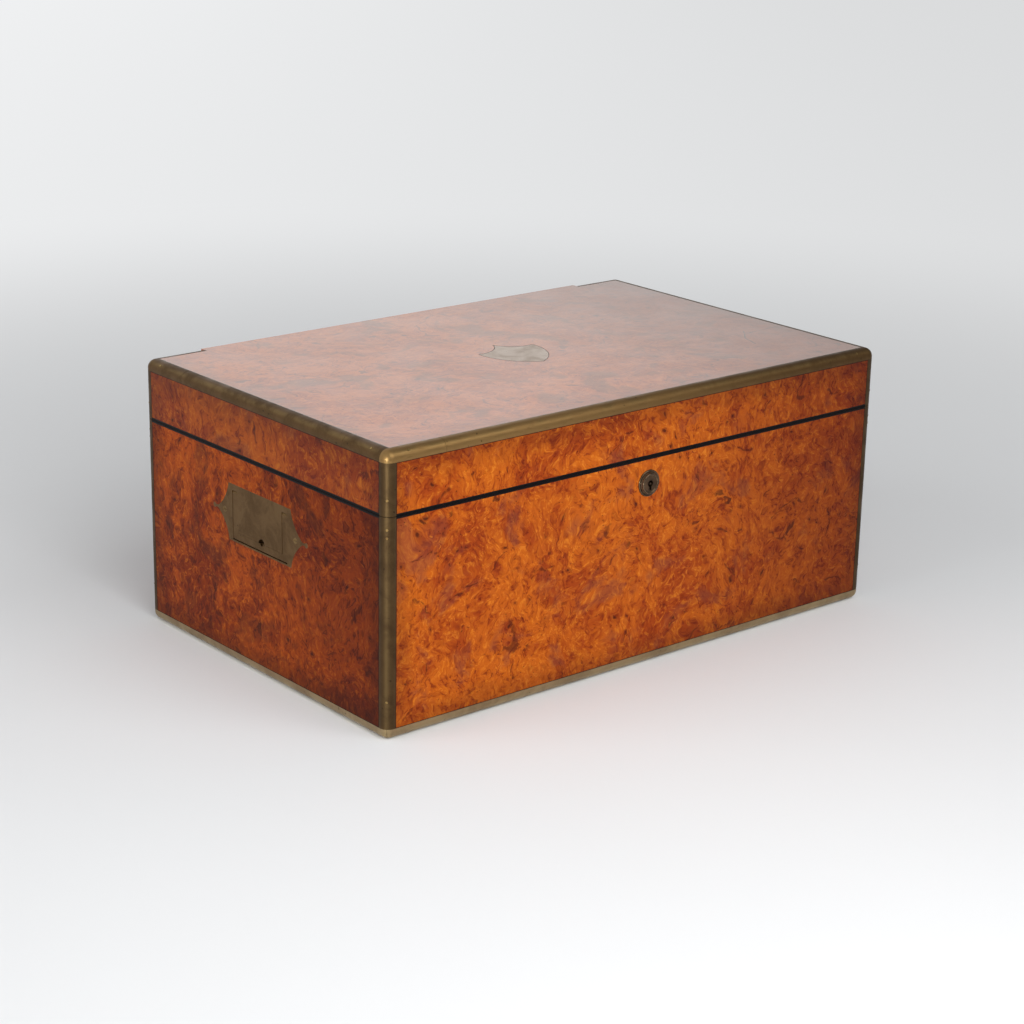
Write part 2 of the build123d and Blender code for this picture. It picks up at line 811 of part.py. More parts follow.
def hinge_leaf(zs, first, screws):
    """Both leaves on one rim; first is the index of their first knuckle, 0 or 1."""
    with BuildPart() as leaves:
        for s in sides:
            xs = (s * hinge_offset - hinge_length / 2, s * hinge_offset + hinge_length / 2)
            slab(xs, (hinge_leaf_y, hinge_y), zs)
            for index in range(1 - first, hinge_knuckles, 2):
                low, high = knuckle_span(s, index)
                start = (low - knuckle_clearance, hinge_y, seam_height)
                radius = hinge_knuckle_radius + knuckle_clearance
                length = high - low + 2 * knuckle_clearance
                rod(start, (1, 0, 0), radius, length, Mode.SUBTRACT)
            for index in range(first, hinge_knuckles, 2):
                low, high = knuckle_span(s, index)
                rod((low, hinge_y, seam_height), (1, 0, 0), hinge_knuckle_radius, high - low)
            start = (s * hinge_offset - hinge_length, hinge_y, seam_height)
            radius = hinge_pin_radius + running_clearance
            rod(start, (1, 0, 0), radius, 2 * hinge_length, Mode.SUBTRACT)
        for plane in screws:
            screw_hole(plane)
    return leaves


hinge_case_leaves = hinge_leaf(leaf_zs(case_lipping_zs), 0, case_screw_planes)
finish(hinge_case_leaves, "hinge_case_leaves")

hinge_lid_leaves = hinge_leaf(leaf_zs(lid_lipping_zs), 1, lid_screw_planes)
finish(hinge_lid_leaves, "hinge_lid_leaves")

# --- Flush handles -------------------------------------------------------------------
for name, plane in side_handles.items():
    finish(handle_plate(plane, carry), f"handle_{name}_plate")
    finish(handle_bail(plane, carry), f"handle_{name}_bail")

with BuildPart() as pivot_pins_of_case:
    for plane in side_handles.values():
        pivot_pins(plane, carry)
    for s in sides:
        start = (s * hinge_offset - hinge_length / 2, hinge_y, seam_height)
        rod(start, (1, 0, 0), hinge_pin_radius, hinge_length)
finish(pivot_pins_of_case, "pivot_pins")

# --- Lock ------------------------------------------------------------------------------
lock_room_front = lock_front + lock_plate
lock_room_back = lock_back - lock_plate
cam_front = lock_room_front + bolt_clearance
cam_back = cam_front + cam_disc_thick
bolt_front = cam_back + bolt_clearance
bolt_back = bolt_front + bolt_thick
bolt_middle = (bolt_front + bolt_back) / 2
hook_half_y = bolt_thick / 2 + hook_clearance + hook_wall
eye_foot = hook_foot + hook_wall
eye_height = finger_height + 2 * hook_clearance
throw = 2 * cam_radius * sin(radians(cam_turn / 2))
cam_rest_x = -throw / 2
cam_low = lock_height + cam_radius * cos(radians(cam_turn / 2))
cam_high = lock_height + cam_radius
bolt_foot = cam_low - cam_pin_radius - 2 * bolt_clearance - lock_plate
rail_top = bolt_foot - bolt_clearance
hook_xs = (-hook_offset, hook_offset)
bore = barrel_radius + running_clearance

with BuildPart() as lock_case:
    case_xs = (-lock_half_width, lock_half_width)
    slab(case_xs, (lock_front, lock_back), (lock_foot, case_board_top))
    room_xs = (lock_plate - lock_half_width, lock_half_width - lock_plate)
    room_zs = (lock_foot + lock_plate, case_board_top)
    slab(room_xs, (lock_room_front, lock_room_back), room_zs, Mode.SUBTRACT)
    selvedge_xs = (-selvedge_half_width, selvedge_half_width)
    slab(selvedge_xs, (front + selvedge_inset, lock_back), case_lipping_zs)
    slab(room_xs, (bolt_front, lock_room_back), (rail_top - lock_plate, rail_top))
    for x in hook_xs:
        reach = hook_thick / 2 + hook_clearance
        ys = (bolt_middle - hook_half_y - hook_clearance, bolt_middle + hook_half_y + hook_clearance)
        slab((x - reach, x + reach), ys, case_lipping_zs, Mode.SUBTRACT)
    rod((0, lock_front, lock_height), (0, 1, 0), bore, lock_plate, Mode.SUBTRACT)
    for plane in case_screw_planes:
        screw_hole(plane)
finish(lock_case, "lock_case")

nose_rings = (  # radius and height above the face, from the rim inwards
    (nose_radius, nose_step),
    (nose_radius - nose_bead, nose_step + nose_lift),
    (nose_lip_radius, nose_proud),
)
with BuildPart() as lock_nose:
    rod((0, lock_front, lock_height), (0, -1, 0), nose_sleeve_radius, lock_face_inset)
    for radius, height in nose_rings:
        rod((0, front, lock_height), (0, -1, 0), radius, height)
    rod((0, lock_front, lock_height), (0, -1, 0), bore, lock_face_inset + nose_proud, Mode.SUBTRACT)
finish(lock_nose, "lock_nose")

barrel_front = front - nose_proud + barrel_recess
with BuildPart() as lock_barrel:
    rod((0, barrel_front, lock_height), (0, 1, 0), barrel_radius, cam_front - barrel_front)
    rod((0, cam_front, lock_height), (0, 1, 0), cam_disc_radius, cam_disc_thick)
    rod(
        (cam_rest_x, cam_back, cam_low),
        (0, 1, 0),
        cam_pin_radius,
        bolt_back - cam_back + bolt_clearance,
    )
    start = (0, barrel_front, lock_height)
    rod(start, (0, 1, 0), key_hole_radius, key_hole_depth, Mode.SUBTRACT)
    slot_xs = (-key_slot, key_slot)
    slot_zs = (lock_height - barrel_radius + key_slot_margin, lock_height)
    slab(slot_xs, (barrel_front, barrel_front + key_hole_depth), slot_zs, Mode.SUBTRACT)
    rod(start, (0, 1, 0), key_pin_radius, key_hole_depth)
finish(lock_barrel, "lock_barrel")

with BuildPart() as lock_bolt:
    bolt_ys = (bolt_front, bolt_back)
    risers = []
    for x in hook_xs:
        riser_edge = x - hook_thick / 2 - hook_clearance - throw
        tip = x - hook_thick / 2 - 2 * bolt_clearance
        finger_zs = (eye_foot + hook_clearance, eye_foot + hook_clearance + finger_height)
        slab((riser_edge - finger_riser, tip), bolt_ys, finger_zs)
        slab((riser_edge - finger_riser, riser_edge), bolt_ys, (bolt_foot, finger_zs[1]))
        risers.append(riser_edge)
    slab((risers[0] - finger_riser, risers[1]), bolt_ys, (bolt_foot, bolt_top))
    slab(
        (cam_rest_x - slot_reach, cam_rest_x + slot_reach),
        bolt_ys,
        (cam_low - slot_reach, cam_high + slot_reach),
        Mode.SUBTRACT,
    )
finish(lock_bolt, "lock_bolt")

with BuildPart() as lock_link_plate:
    slab((-link_half_width, link_half_width), lock_cut_ys, lid_lipping_zs)
    for x in hook_xs:
        xs = (x - hook_thick / 2, x + hook_thick / 2)
        staple_zs = (hook_foot, lid_rim - glue_line)
        slab(xs, (bolt_middle - hook_half_y, bolt_middle + hook_half_y), staple_zs)
        ys = (bolt_middle - hook_half_y + hook_wall, bolt_middle + hook_half_y - hook_wall)
        slab(xs, ys, (eye_foot, eye_foot + eye_height), Mode.SUBTRACT)
    for plane in lid_screw_planes:
        screw_hole(plane)
finish(lock_link_plate, "lock_link_plate")

# --- Lid: boards and veneers ---------------------------------------------------------
mirror_pin_planes = [
    Plane(
        origin=(s * (mirror_x - mirror_pin_depth), mirror_axis_y, mirror_axis_z),
        z_dir=(s, 0, 0),
    )
    for s in sides
]
mirror_pin_length = mirror_pin_depth + inner_x - mirror_x + mirror_pin_seat


def mirror_pin_bores():
    for plane in mirror_pin_planes:
        with Locations(plane):
            Cylinder(
                mirror_pin_radius + running_clearance,
                mirror_pin_length + running_clearance,
                align=(Align.CENTER, Align.CENTER, Align.MIN),
                mode=Mode.SUBTRACT,
            )


lid_board_zs = (lid_board_foot, ceiling)
lid_top_foot = box_height - veneer
for name, sy in (("front", -1), ("back", 1)):
    with BuildPart() as board:
        slab((-board_x, board_x), (sy * inner_y, sy * board_y), lid_board_zs)
        add(lid_binding_space.part, mode=Mode.SUBTRACT)
        if sy > 0:
            hinge_recess()
        for plane in lid_screw_planes:
            screw_hole(plane)
        brad_holes(lid_brads)
    finish(board, f"lid_{name}_board")

with BuildPart() as lid_end_boards:
    for sx in sides:
        slab((sx * inner_x, sx * board_x), (-inner_y, inner_y), lid_board_zs)
    add(lid_binding_space.part, mode=Mode.SUBTRACT)
    mirror_pin_bores()
    brad_holes(lid_brads)
finish(lid_end_boards, "lid_end_boards")

with BuildPart() as lid_top_board:
    slab((-board_x, board_x), (-board_y, board_y), (ceiling, lid_top_foot))
    add(lid_binding_space.part, mode=Mode.SUBTRACT)
    brad_holes(lid_brads)
finish(lid_top_board, "lid_top_board")

with BuildPart() as lid_side_veneers:
    veneer_span = (lid_board_foot, lid_top_foot - glue_line)
    for sy in sides:
        slab((-half_width, half_width), (sy * board_y, sy * half_depth), veneer_span)
    for sx in sides:
        slab((sx * board_x, sx * half_width), (-half_depth, half_depth), veneer_span)
    add(lid_binding_space.part, mode=Mode.SUBTRACT)
    hinge_recess()
finish(lid_side_veneers, "lid_side_veneers")

with BuildPart() as lid_shield:
    with BuildSketch(Plane.XY.offset(lid_top_foot)):
        with BuildLine():
            for s in sides:
                corner = (s * shield_half_width, shield_shoulder)
                ThreePointArc((0, shield_top), (s * shield_dip_x, shield_dip), corner)
                ThreePointArc(corner, (s * shield_side[0], shield_side[1]), (0, shield_foot))
        make_face()
    extrude(amount=veneer)
finish(lid_shield, "lid_shield")

with BuildPart() as lid_top_veneer:
    slab((-half_width, half_width), (-half_depth, half_depth), (lid_top_foot, box_height))
    add(lid_binding_space.part, mode=Mode.SUBTRACT)
    add(lid_shield.part, mode=Mode.SUBTRACT)
    back_top = lid_top_veneer.edges().filter_by(Axis.X).group_by(Axis.Z)[-1].sort_by(Axis.Y)[-1]
    fillet(back_top, wood_edge_round)
finish(lid_top_veneer, "lid_top_veneer")

lid_rim_lipping = rim_lipping(
    lid_lipping_zs, lid_binding_space.part, link_half_width, lid_screw_planes
)
finish(lid_rim_lipping, "lid_rim_lipping")

# --- Lid: brass binding ----------------------------------------------------------------
with BuildPart() as lid_corner_caps:
    for sx, sy in corners:
        long_angle(sy, (sx * half_width, sx * (half_width - cap_arm)), box_height, -1)
        end_angle(sx, (sy * half_depth, sy * (half_depth - cap_arm)), box_height, -1)
    add(rounded_block.part, mode=Mode.INTERSECT)
    brad_holes(lid_brads)
finish(lid_corner_caps, "lid_corner_caps")

with BuildPart() as lid_corner_posts:
    for sx, sy in corners:
        post_angle(sx, sy, (lid_rim, box_height - binding_leg))
    add(rounded_block.part, mode=Mode.INTERSECT)
    brad_holes(lid_brads)
finish(lid_corner_posts, "lid_corner_posts")

with BuildPart() as lid_edge_strips:
    reach = half_width - cap_arm - binding_joint
    long_angle(-1, (-reach, reach), box_height, -1)
    reach = half_depth - cap_arm - binding_joint
    for s in sides:
        end_angle(s, (-reach, reach), box_height, -1)
    add(rounded_block.part, mode=Mode.INTERSECT)
finish(lid_edge_strips, "lid_edge_strips")

with BuildPart() as lid_pins_and_screws:
    brads(lid_brads)
    for plane in lid_screw_planes:
        screw(plane)
    for plane in mirror_pin_planes:
        with Locations(plane):
            Cylinder(
                mirror_pin_radius,
                mirror_pin_length,
                align=(Align.CENTER, Align.CENTER, Align.MIN),
            )
finish(lid_pins_and_screws, "lid_pins_and_screws")

# --- Lid: lining and mirror --------------------------------------------------------------
with BuildPart() as lid_lining:
    lining_zs = (lid_rim + lining_drop, ceiling)
    for sy in sides:
        slab((-inner_x, inner_x), (sy * inner_y, sy * lined_y), lining_zs)
    for sx in sides:
        ys = (glue_line - lined_y, lined_y - glue_line)
        slab((sx * inner_x, sx * lined_x), ys, lining_zs)
    pad_xs = (soft_gap - lined_x, lined_x - soft_gap)
    pad_ys = (soft_gap - lined_y, lined_y - soft_gap)
    slab(pad_xs, pad_ys, (ceiling - lid_pad, ceiling))
    mirror_pin_bores()
finish(lid_lining, "lid_lining")

glass_foot = mirror_floor + mirror_glass_inset
glass_xs = (mirror_border_x - mirror_x, mirror_x - mirror_border_x)
glass_ys = (mirror_front + mirror_border_y, mirror_back - mirror_border_y)
with BuildPart() as mirror_frame:
    slab((-mirror_x, mirror_x), (mirror_front, mirror_back), (mirror_floor, mirror_top))
    slab(glass_xs, glass_ys, (mirror_floor, glass_foot + mirror_glass_thick), Mode.SUBTRACT)
    mirror_pin_bores()
finish(mirror_frame, "mirror_frame")

with BuildPart() as mirror_glass:
    length = glass_xs[1] - glass_xs[0] - 2 * mirror_glass_gap
    depth = glass_ys[1] - glass_ys[0] - 2 * mirror_glass_gap
    middle = (glass_ys[0] + glass_ys[1]) / 2
    bevel_top = glass_foot + mirror_glass_thick - mirror_edge
    with BuildSketch(Plane.XY.offset(bevel_top)):
        with Locations((0, middle)):
            Rectangle(length, depth)
    extrude(amount=mirror_edge)
    with BuildSketch(Plane.XY.offset(glass_foot)) as bevel:
        with Locations((0, middle)):
            Rectangle(length - 2 * mirror_bevel, depth - 2 * mirror_bevel)
    with BuildSketch(Plane.XY.offset(bevel_top)) as bevel_base:
        with Locations((0, middle)):
            Rectangle(length, depth)
    loft([bevel.sketch, bevel_base.sketch])
finish(mirror_glass, "mirror_glass")

with BuildPart() as mirror_tab:
    tab_zs = (mirror_floor - tab_thick, mirror_floor)
    tab_ys = (mirror_front - tab_reach, mirror_front + tab_seat)
    slab((-tab_width / 2, tab_width / 2), tab_ys, tab_zs)
    edges = mirror_tab.edges().filter_by(Axis.Z).group_by(Axis.Y)[0]
    fillet(edges, tab_round)
finish(mirror_tab, "mirror_tab")

# --- Case: deck, drawer guides and lining --------------------------------------------
pin_x, pin_y = cross_x, -cross_y
pin_bore = pin_radius + pin_clearance

with BuildPart() as deck_board:
    slab((-inner_x, inner_x), (-inner_y, inner_y), (deck_height, deck_top))
    rod((pin_x, pin_y, deck_height), (0, 0, 1), pin_bore, deck_thick, Mode.SUBTRACT)
finish(deck_board, "deck_board")

with BuildPart() as drawer_guides:
    guide_zs = (bottom_thick, deck_height)
    for s in sides:
        edge = drawer_half + drawer_clearance
        slab((-inner_x, inner_x), (s * edge, s * (edge + guide_width)), guide_zs)
    stop = drawer_end - drawer_clearance
    stop_y = drawer_half - guide_width
    slab((stop - guide_width, stop), (-stop_y, stop_y), guide_zs)
finish(drawer_guides, "drawer_guides")

corner_wells = [
    ((sx * end_in, sx * lined_x), (sy * row_in, sy * lined_y)) for sx, sy in corners
]
jar_wells = {
    sx: [((sx * end_in, sx * lined_x), (sy * strip_half, sy * centre_y)) for sy in sides]
    for sx in sides
}
box_wells = [((sx * strip_half, sx * centre_x), (-row_in, -lined_y)) for sx in sides]
brush_well = ((-centre_x, centre_x), (row_in, lined_y))
centre_well = ((-centre_x, centre_x), (-centre_y, centre_y))
wells = [*corner_wells, *jar_wells[-1], *jar_wells[1], *box_wells, brush_well, centre_well]


def inset(span, margin):
    """A pair of coordinates, in order, drawn in by a margin at both ends."""
    return (min(span) + margin, max(span) - margin)


with BuildPart() as case_lining:
    lining_zs = (deck_top, case_rim - lining_drop)
    for sy in sides:
        slab((-inner_x, inner_x), (sy * inner_y, sy * lined_y), lining_zs)
    for sx in sides:
        ys = (glue_line - lined_y, lined_y - glue_line)
        slab((sx * inner_x, sx * lined_x), ys, lining_zs)
    post_clear = post_half + soft_gap
    for xs, ys in wells:
        slab(inset(xs, soft_gap), inset(ys, soft_gap), (deck_top, well_floor))
    for sx, sy in corners:
        xs = (sx * (cross_x - post_clear), sx * (cross_x + post_clear))
        ys = (sy * (cross_y - post_clear), sy * (cross_y + post_clear))
        slab(xs, ys, (deck_top, well_floor), Mode.SUBTRACT)
finish(case_lining, "case_lining")

# --- Bottle rack -----------------------------------------------------------------------
rack_zs = (deck_top, rack_height)


def strip_along_x(y, xs):
    slab(inset(xs, glue_line), (y - strip_half, y + strip_half), rack_zs)


def strip_along_y(x, ys):
    slab((x - strip_half, x + strip_half), inset(ys, glue_line), rack_zs)


with BuildPart() as rack_partitions:
    for s in sides:
        strip_along_x(s * cross_y, (post_half - cross_x, cross_x - post_half))
        strip_along_y(s * cross_x, (post_half - cross_y, cross_y - post_half))
        strip_along_x(0, (s * end_in, s * lined_x))
        for t in sides:
            strip_along_x(t * cross_y, (s * (cross_x + post_half), s * lined_x))
            strip_along_y(s * cross_x, (t * (cross_y + post_half), t * lined_y))
    strip_along_y(0, (-lined_y, -row_in))
finish(rack_partitions, "rack_partitions")

with BuildPart() as rack_posts:
    for sx, sy in corners:
        xs = (sx * (cross_x - post_half), sx * (cross_x + post_half))
        slab(xs, (sy * (cross_y - post_half), sy * (cross_y + post_half)), rack_zs)
    rod((pin_x, pin_y, deck_top), (0, 0, 1), pin_bore, rack_height - deck_top, Mode.SUBTRACT)
    ledge_zs = (tray_seat - ledge, tray_seat)
    for s in sides:
        xs = inset((-centre_x, centre_x), post_half)
        slab(xs, (s * centre_y, s * (centre_y - ledge)), ledge_zs)
        ys = inset((-centre_y, centre_y), post_half + ledge)
        slab((s * centre_x, s * (centre_x - ledge)), ys, ledge_zs)
finish(rack_posts, "rack_posts_and_ledges")

with BuildPart() as drawer_pin:
    rod((pin_x, pin_y, deck_height), (0, 0, 1), pin_radius, rack_height + pin_travel - deck_height)
    knob_foot = rack_height + pin_travel
    rod((pin_x, pin_y, knob_foot), (0, 0, 1), pin_knob_radius, pin_knob_height)
    rims = drawer_pin.edges().filter_by(GeomType.CIRCLE).group_by(Axis.Z)[-1]
    fillet(rims, pin_knob_round)
finish(drawer_pin, "drawer_pin")


# --- Glass vessels with plated lids ------------------------------------------------------
def vessel(xs, ys, height):
    """Square-cut glass with its upright edges cut away, open at the top."""
    xs = inset(xs, glass_margin)
    ys = inset(ys, glass_margin)
    with BuildPart(mode=Mode.PRIVATE) as glass:
        slab(xs, ys, (well_floor, well_floor + height))
        chamfer(glass.edges().filter_by(Axis.Z), glass_chamfer)
        room_zs = (well_floor + glass_floor, well_floor + height)
        slab(inset(xs, glass_wall), inset(ys, glass_wall), room_zs, Mode.SUBTRACT)
    return glass.part


def vessel_lid(xs, ys, height):
    """Plated lid: a flat cap over the rim, with a skirt inside the glass."""
    xs = inset(xs, glass_margin)
    ys = inset(ys, glass_margin)
    foot = well_floor + height
    with BuildPart(mode=Mode.PRIVATE) as cover:
        slab(xs, ys, (foot, foot + lid_plate))
        chamfer(cover.edges().filter_by(Axis.Z), glass_chamfer)
        fillet(cover.edges().group_by(Axis.Z)[-1], lid_edge)
        skirt = (foot - lid_skirt, foot)
        mouth = glass_wall + cap_fit
        slab(inset(xs, mouth), inset(ys, mouth), skirt)
        hollow = mouth + lid_skirt_wall
        room_zs = (foot - lid_skirt, foot + lid_plate - lid_skirt_wall)
        slab(inset(xs, hollow), inset(ys, hollow), room_zs, Mode.SUBTRACT)
    return cover.part


for name, sx in (("left", -1), ("right", 1)):
    with BuildPart() as jars:
        for xs, ys in jar_wells[sx]:
            add(vessel(xs, ys, jar_body))
    finish(jars, f"glass_jars_{name}")

with BuildPart() as long_boxes:
    for xs, ys in box_wells:
        add(vessel(xs, ys, box_body))
finish(long_boxes, "glass_long_boxes")

with BuildPart() as bottles:
    for xs, ys in corner_wells:
        xs = inset(xs, glass_margin)
        ys = inset(ys, glass_margin)
        with BuildPart(mode=Mode.PRIVATE) as block:
            slab(xs, ys, (well_floor, bottle_shoulder))
            chamfer(block.edges().filter_by(Axis.Z), glass_chamfer)
            chamfer(block.edges().group_by(Axis.Z)[-1], bottle_chamfer)
        add(block.part)
        foot = (sum(xs) / 2, sum(ys) / 2, bottle_shoulder)
        rod(foot, (0, 0, 1), bottle_neck_radius, bottle_neck)
        room_zs = (well_floor + glass_floor, bottle_shoulder - glass_floor)
        slab(inset(xs, glass_wall), inset(ys, glass_wall), room_zs, Mode.SUBTRACT)
        bore_foot = (foot[0], foot[1], bottle_shoulder - glass_floor)
        bore_length = glass_floor + bottle_neck
        rod(bore_foot, (0, 0, 1), bottle_bore_radius, bore_length, Mode.SUBTRACT)
finish(bottles, "glass_bottles")

with BuildPart() as plated_caps:
    for sx in sides:
        for xs, ys in jar_wells[sx]:
            add(vessel_lid(xs, ys, jar_body))
    for xs, ys in box_wells:
        add(vessel_lid(xs, ys, box_body))
    for xs, ys in corner_wells:
        middle = (sum(xs) / 2, sum(ys) / 2, bottle_shoulder)
        rod(middle, (0, 0, 1), bottle_cap_radius, bottle_cap)
        bore = bottle_neck_radius + cap_fit
        rod(middle, (0, 0, 1), bore, bottle_neck + cap_fit, Mode.SUBTRACT)
finish(plated_caps, "plated_caps")

# --- Lift-out tray -------------------------------------------------------------------------
tray_xs = inset((-centre_x, centre_x), tray_clearance)
tray_ys = inset((-centre_y, centre_y), tray_clearance)
tray_room_xs = inset(tray_xs, tray_wall)
tray_room_ys = inset(tray_ys, tray_wall)
tray_floor_z = tray_seat + tray_floor
tray_length = tray_room_xs[1] - tray_room_xs[0]
tray_divider_xs = [tray_room_xs[0] + share * tray_length for share in tray_bays]
tray_edges = [tray_room_xs[0], *tray_divider_xs, tray_room_xs[1]]

with BuildPart() as tray_box:
    slab(tray_xs, tray_ys, (tray_seat, rack_height))
    fillet(tray_box.edges().filter_by(Axis.Z), tray_corner)
    with BuildSketch(Plane.XY.offset(tray_floor_z)):
        RectangleRounded(tray_length, tray_room_ys[1] - tray_room_ys[0], tray_corner - tray_wall)
    extrude(amount=tray_height, mode=Mode.SUBTRACT)
    for x in tray_divider_xs:
        xs = (x - tray_wall / 2, x + tray_wall / 2)
        divider_top = rack_height - tray_wall
        slab(xs, inset(tray_room_ys, glue_line), (tray_floor_z + glue_line, divider_top))
finish(tray_box, "tray_box")

with BuildPart() as tray_lining:
    pad_heights = (tray_pad_thin, tray_pad_height, tray_pad_thin)
    for low, high, height in zip(tray_edges, tray_edges[1:], pad_heights):
        xs = inset((low, high), tray_wall / 2 + tray_pad_clearance)
        ys = inset(tray_room_ys, tray_pad_clearance)
        slab(xs, ys, (tray_floor_z, tray_floor_z + height))
    fillet(tray_lining.edges().filter_by(Axis.Z), tray_corner - tray_wall)
finish(tray_lining, "tray_lining")

# --- Jewellery drawer --------------------------------------------------------------------------
drawer_zs = (drawer_floor, drawer_top)
drawer_face = (board_x - drawer_side, board_x)
drawer_room_xs = (drawer_end + drawer_back, board_x - drawer_side)
drawer_room_ys = (drawer_side - drawer_half, drawer_half - drawer_side)
drawer_inside = drawer_floor + drawer_bottom
drawer_length_inside = drawer_room_xs[1] - drawer_room_xs[0]
drawer_divider_xs = [drawer_room_xs[0] + share * drawer_length_inside for share in drawer_bays]
drawer_edges = [drawer_room_xs[0], *drawer_divider_xs, drawer_room_xs[1]]

with BuildPart() as drawer_box:
    slab(drawer_face, (-drawer_half, drawer_half), drawer_zs)
    for s in sides:
        xs = (drawer_end, drawer_face[0] - glue_line)
        slab(xs, (s * drawer_half, s * (drawer_half - drawer_side)), drawer_zs)
    ys = inset(drawer_room_ys, glue_line)
    slab((drawer_end, drawer_room_xs[0]), ys, drawer_zs)
    slab(inset(drawer_room_xs, glue_line), ys, (drawer_floor, drawer_inside))
    for x in drawer_divider_xs:
        xs = (x - drawer_divider / 2, x + drawer_divider / 2)
        slab(xs, ys, (drawer_inside + glue_line, drawer_top - drawer_divider))
    add(handle_space(pull_plane, pull), mode=Mode.SUBTRACT)
    for plane in drawer_screw_planes:
        screw_hole(plane, pull_screw_length)
    notch_ys = (-drawer_half, drawer_side - drawer_half)
    notch_zs = (deck_height - pin_travel - pin_clearance, drawer_top)
    slab((pin_x - pin_bore, pin_x + pin_bore), notch_ys, notch_zs, Mode.SUBTRACT)
finish(drawer_box, "drawer_box")

with BuildPart() as drawer_veneer:
    slab((board_x, half_width), (-drawer_half, drawer_half), drawer_zs)
    add(handle_space(pull_plane, pull), mode=Mode.SUBTRACT)
finish(drawer_veneer, "drawer_veneer")

with BuildPart() as drawer_lining:
    for low, high in zip(drawer_edges, drawer_edges[1:]):
        xs = inset((low, high), drawer_divider / 2 + soft_gap)
        slab(xs, inset(drawer_room_ys, soft_gap), (drawer_inside, drawer_inside + lining))
finish(drawer_lining, "drawer_lining")

finish(handle_plate(pull_plane, pull), "drawer_pull_plate")
finish(handle_bail(pull_plane, pull), "drawer_pull_bail")

with BuildPart() as drawer_pull_fixings:
    pivot_pins(pull_plane, pull)
    for plane in drawer_screw_planes:
        screw(plane, pull_screw_length)
finish(drawer_pull_fixings, "drawer_pull_pins_and_screws")
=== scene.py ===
"""Brass-bound fitted dressing box: its finishes, linings, glass and plate, round a fixed frame.

Lengths are in metres and angles in radians, unless a name says otherwise.
"""

import math
from functools import partial, partialmethod

import bpy
import numpy as np
from mathutils import Matrix, Vector


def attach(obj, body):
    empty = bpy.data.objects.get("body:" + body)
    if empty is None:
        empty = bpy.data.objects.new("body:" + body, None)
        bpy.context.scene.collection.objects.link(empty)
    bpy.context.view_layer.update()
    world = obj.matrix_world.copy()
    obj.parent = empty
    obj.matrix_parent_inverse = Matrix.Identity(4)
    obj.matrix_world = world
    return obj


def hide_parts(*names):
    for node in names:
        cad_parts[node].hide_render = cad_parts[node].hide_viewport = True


bl_info = {
    "name": "Fitted dressing box",
    "version": (1, 0, 0),
    "blender": (4, 5, 0),
    "location": "View3D > Sidebar > Dressing box",
    "description": "Finishes, linings, glass and plate of a brass-bound dressing box",
    "category": "Object",
}

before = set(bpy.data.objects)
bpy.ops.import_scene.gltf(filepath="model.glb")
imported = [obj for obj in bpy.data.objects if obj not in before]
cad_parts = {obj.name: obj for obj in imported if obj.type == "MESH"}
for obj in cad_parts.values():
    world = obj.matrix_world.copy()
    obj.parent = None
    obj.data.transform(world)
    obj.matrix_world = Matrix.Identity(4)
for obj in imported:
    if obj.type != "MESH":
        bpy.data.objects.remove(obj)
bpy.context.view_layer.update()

mm = 0.001
tiny = 0.0002  # smallest radius or half size that a shape narrows to


# --- Sizes of the fixed frame that the new pieces are made to ----------------------------
half_depth, top = 0.1385, 0.190
inner_x, inner_y = 0.206, 0.1265  # inner faces of the boards
lined_x, lined_y = 0.2048, 0.1253  # faces of the velvet
deck_top, well_floor = 0.051, 0.0522
end_in, row_in = 0.1408, 0.0673  # inner sides of the end wells and of the long rows
centre_x, centre_y = 0.1378, 0.0643
brass_in_x, brass_in_y = 0.2105, 0.1310  # inner edges of the binding on each face
brass_over_foot, brass_under_top = 0.0075, 0.1825
end_face_x = 0.2168  # past this, a face of the lid's sides is one of its ends
strip_half = 0.0015
glass_margin, cut_corner = 0.004, 0.005
jar_rim, box_rim, bottle_shoulder = 0.1082, 0.1102, 0.1022
signs = (-1, 1)
corner_wells = [
    ((sx * end_in, sx * lined_x), (sy * row_in, sy * lined_y)) for sx in signs for sy in signs
]
jar_wells = {
    sx: [((sx * end_in, sx * lined_x), (sy * strip_half, sy * centre_y)) for sy in signs]
    for sx in signs
}
box_wells = [((sx * strip_half, sx * centre_x), (-row_in, -lined_y)) for sx in signs]
brush_well = ((-centre_x, centre_x), (row_in, lined_y))
centre_well = ((-centre_x, centre_x), (-centre_y, centre_y))


# --- Finishes: the node tree of each material ------------------------------------------
def colour(red, green, blue):
    """A linear colour from 0 to 255 steps of a screen colour."""
    steps = np.array([red, green, blue]) / 255
    linear = np.where(steps <= 0.04045, steps / 12.92, ((steps + 0.055) / 1.055) ** 2.4)
    return (*linear.tolist(), 1.0)


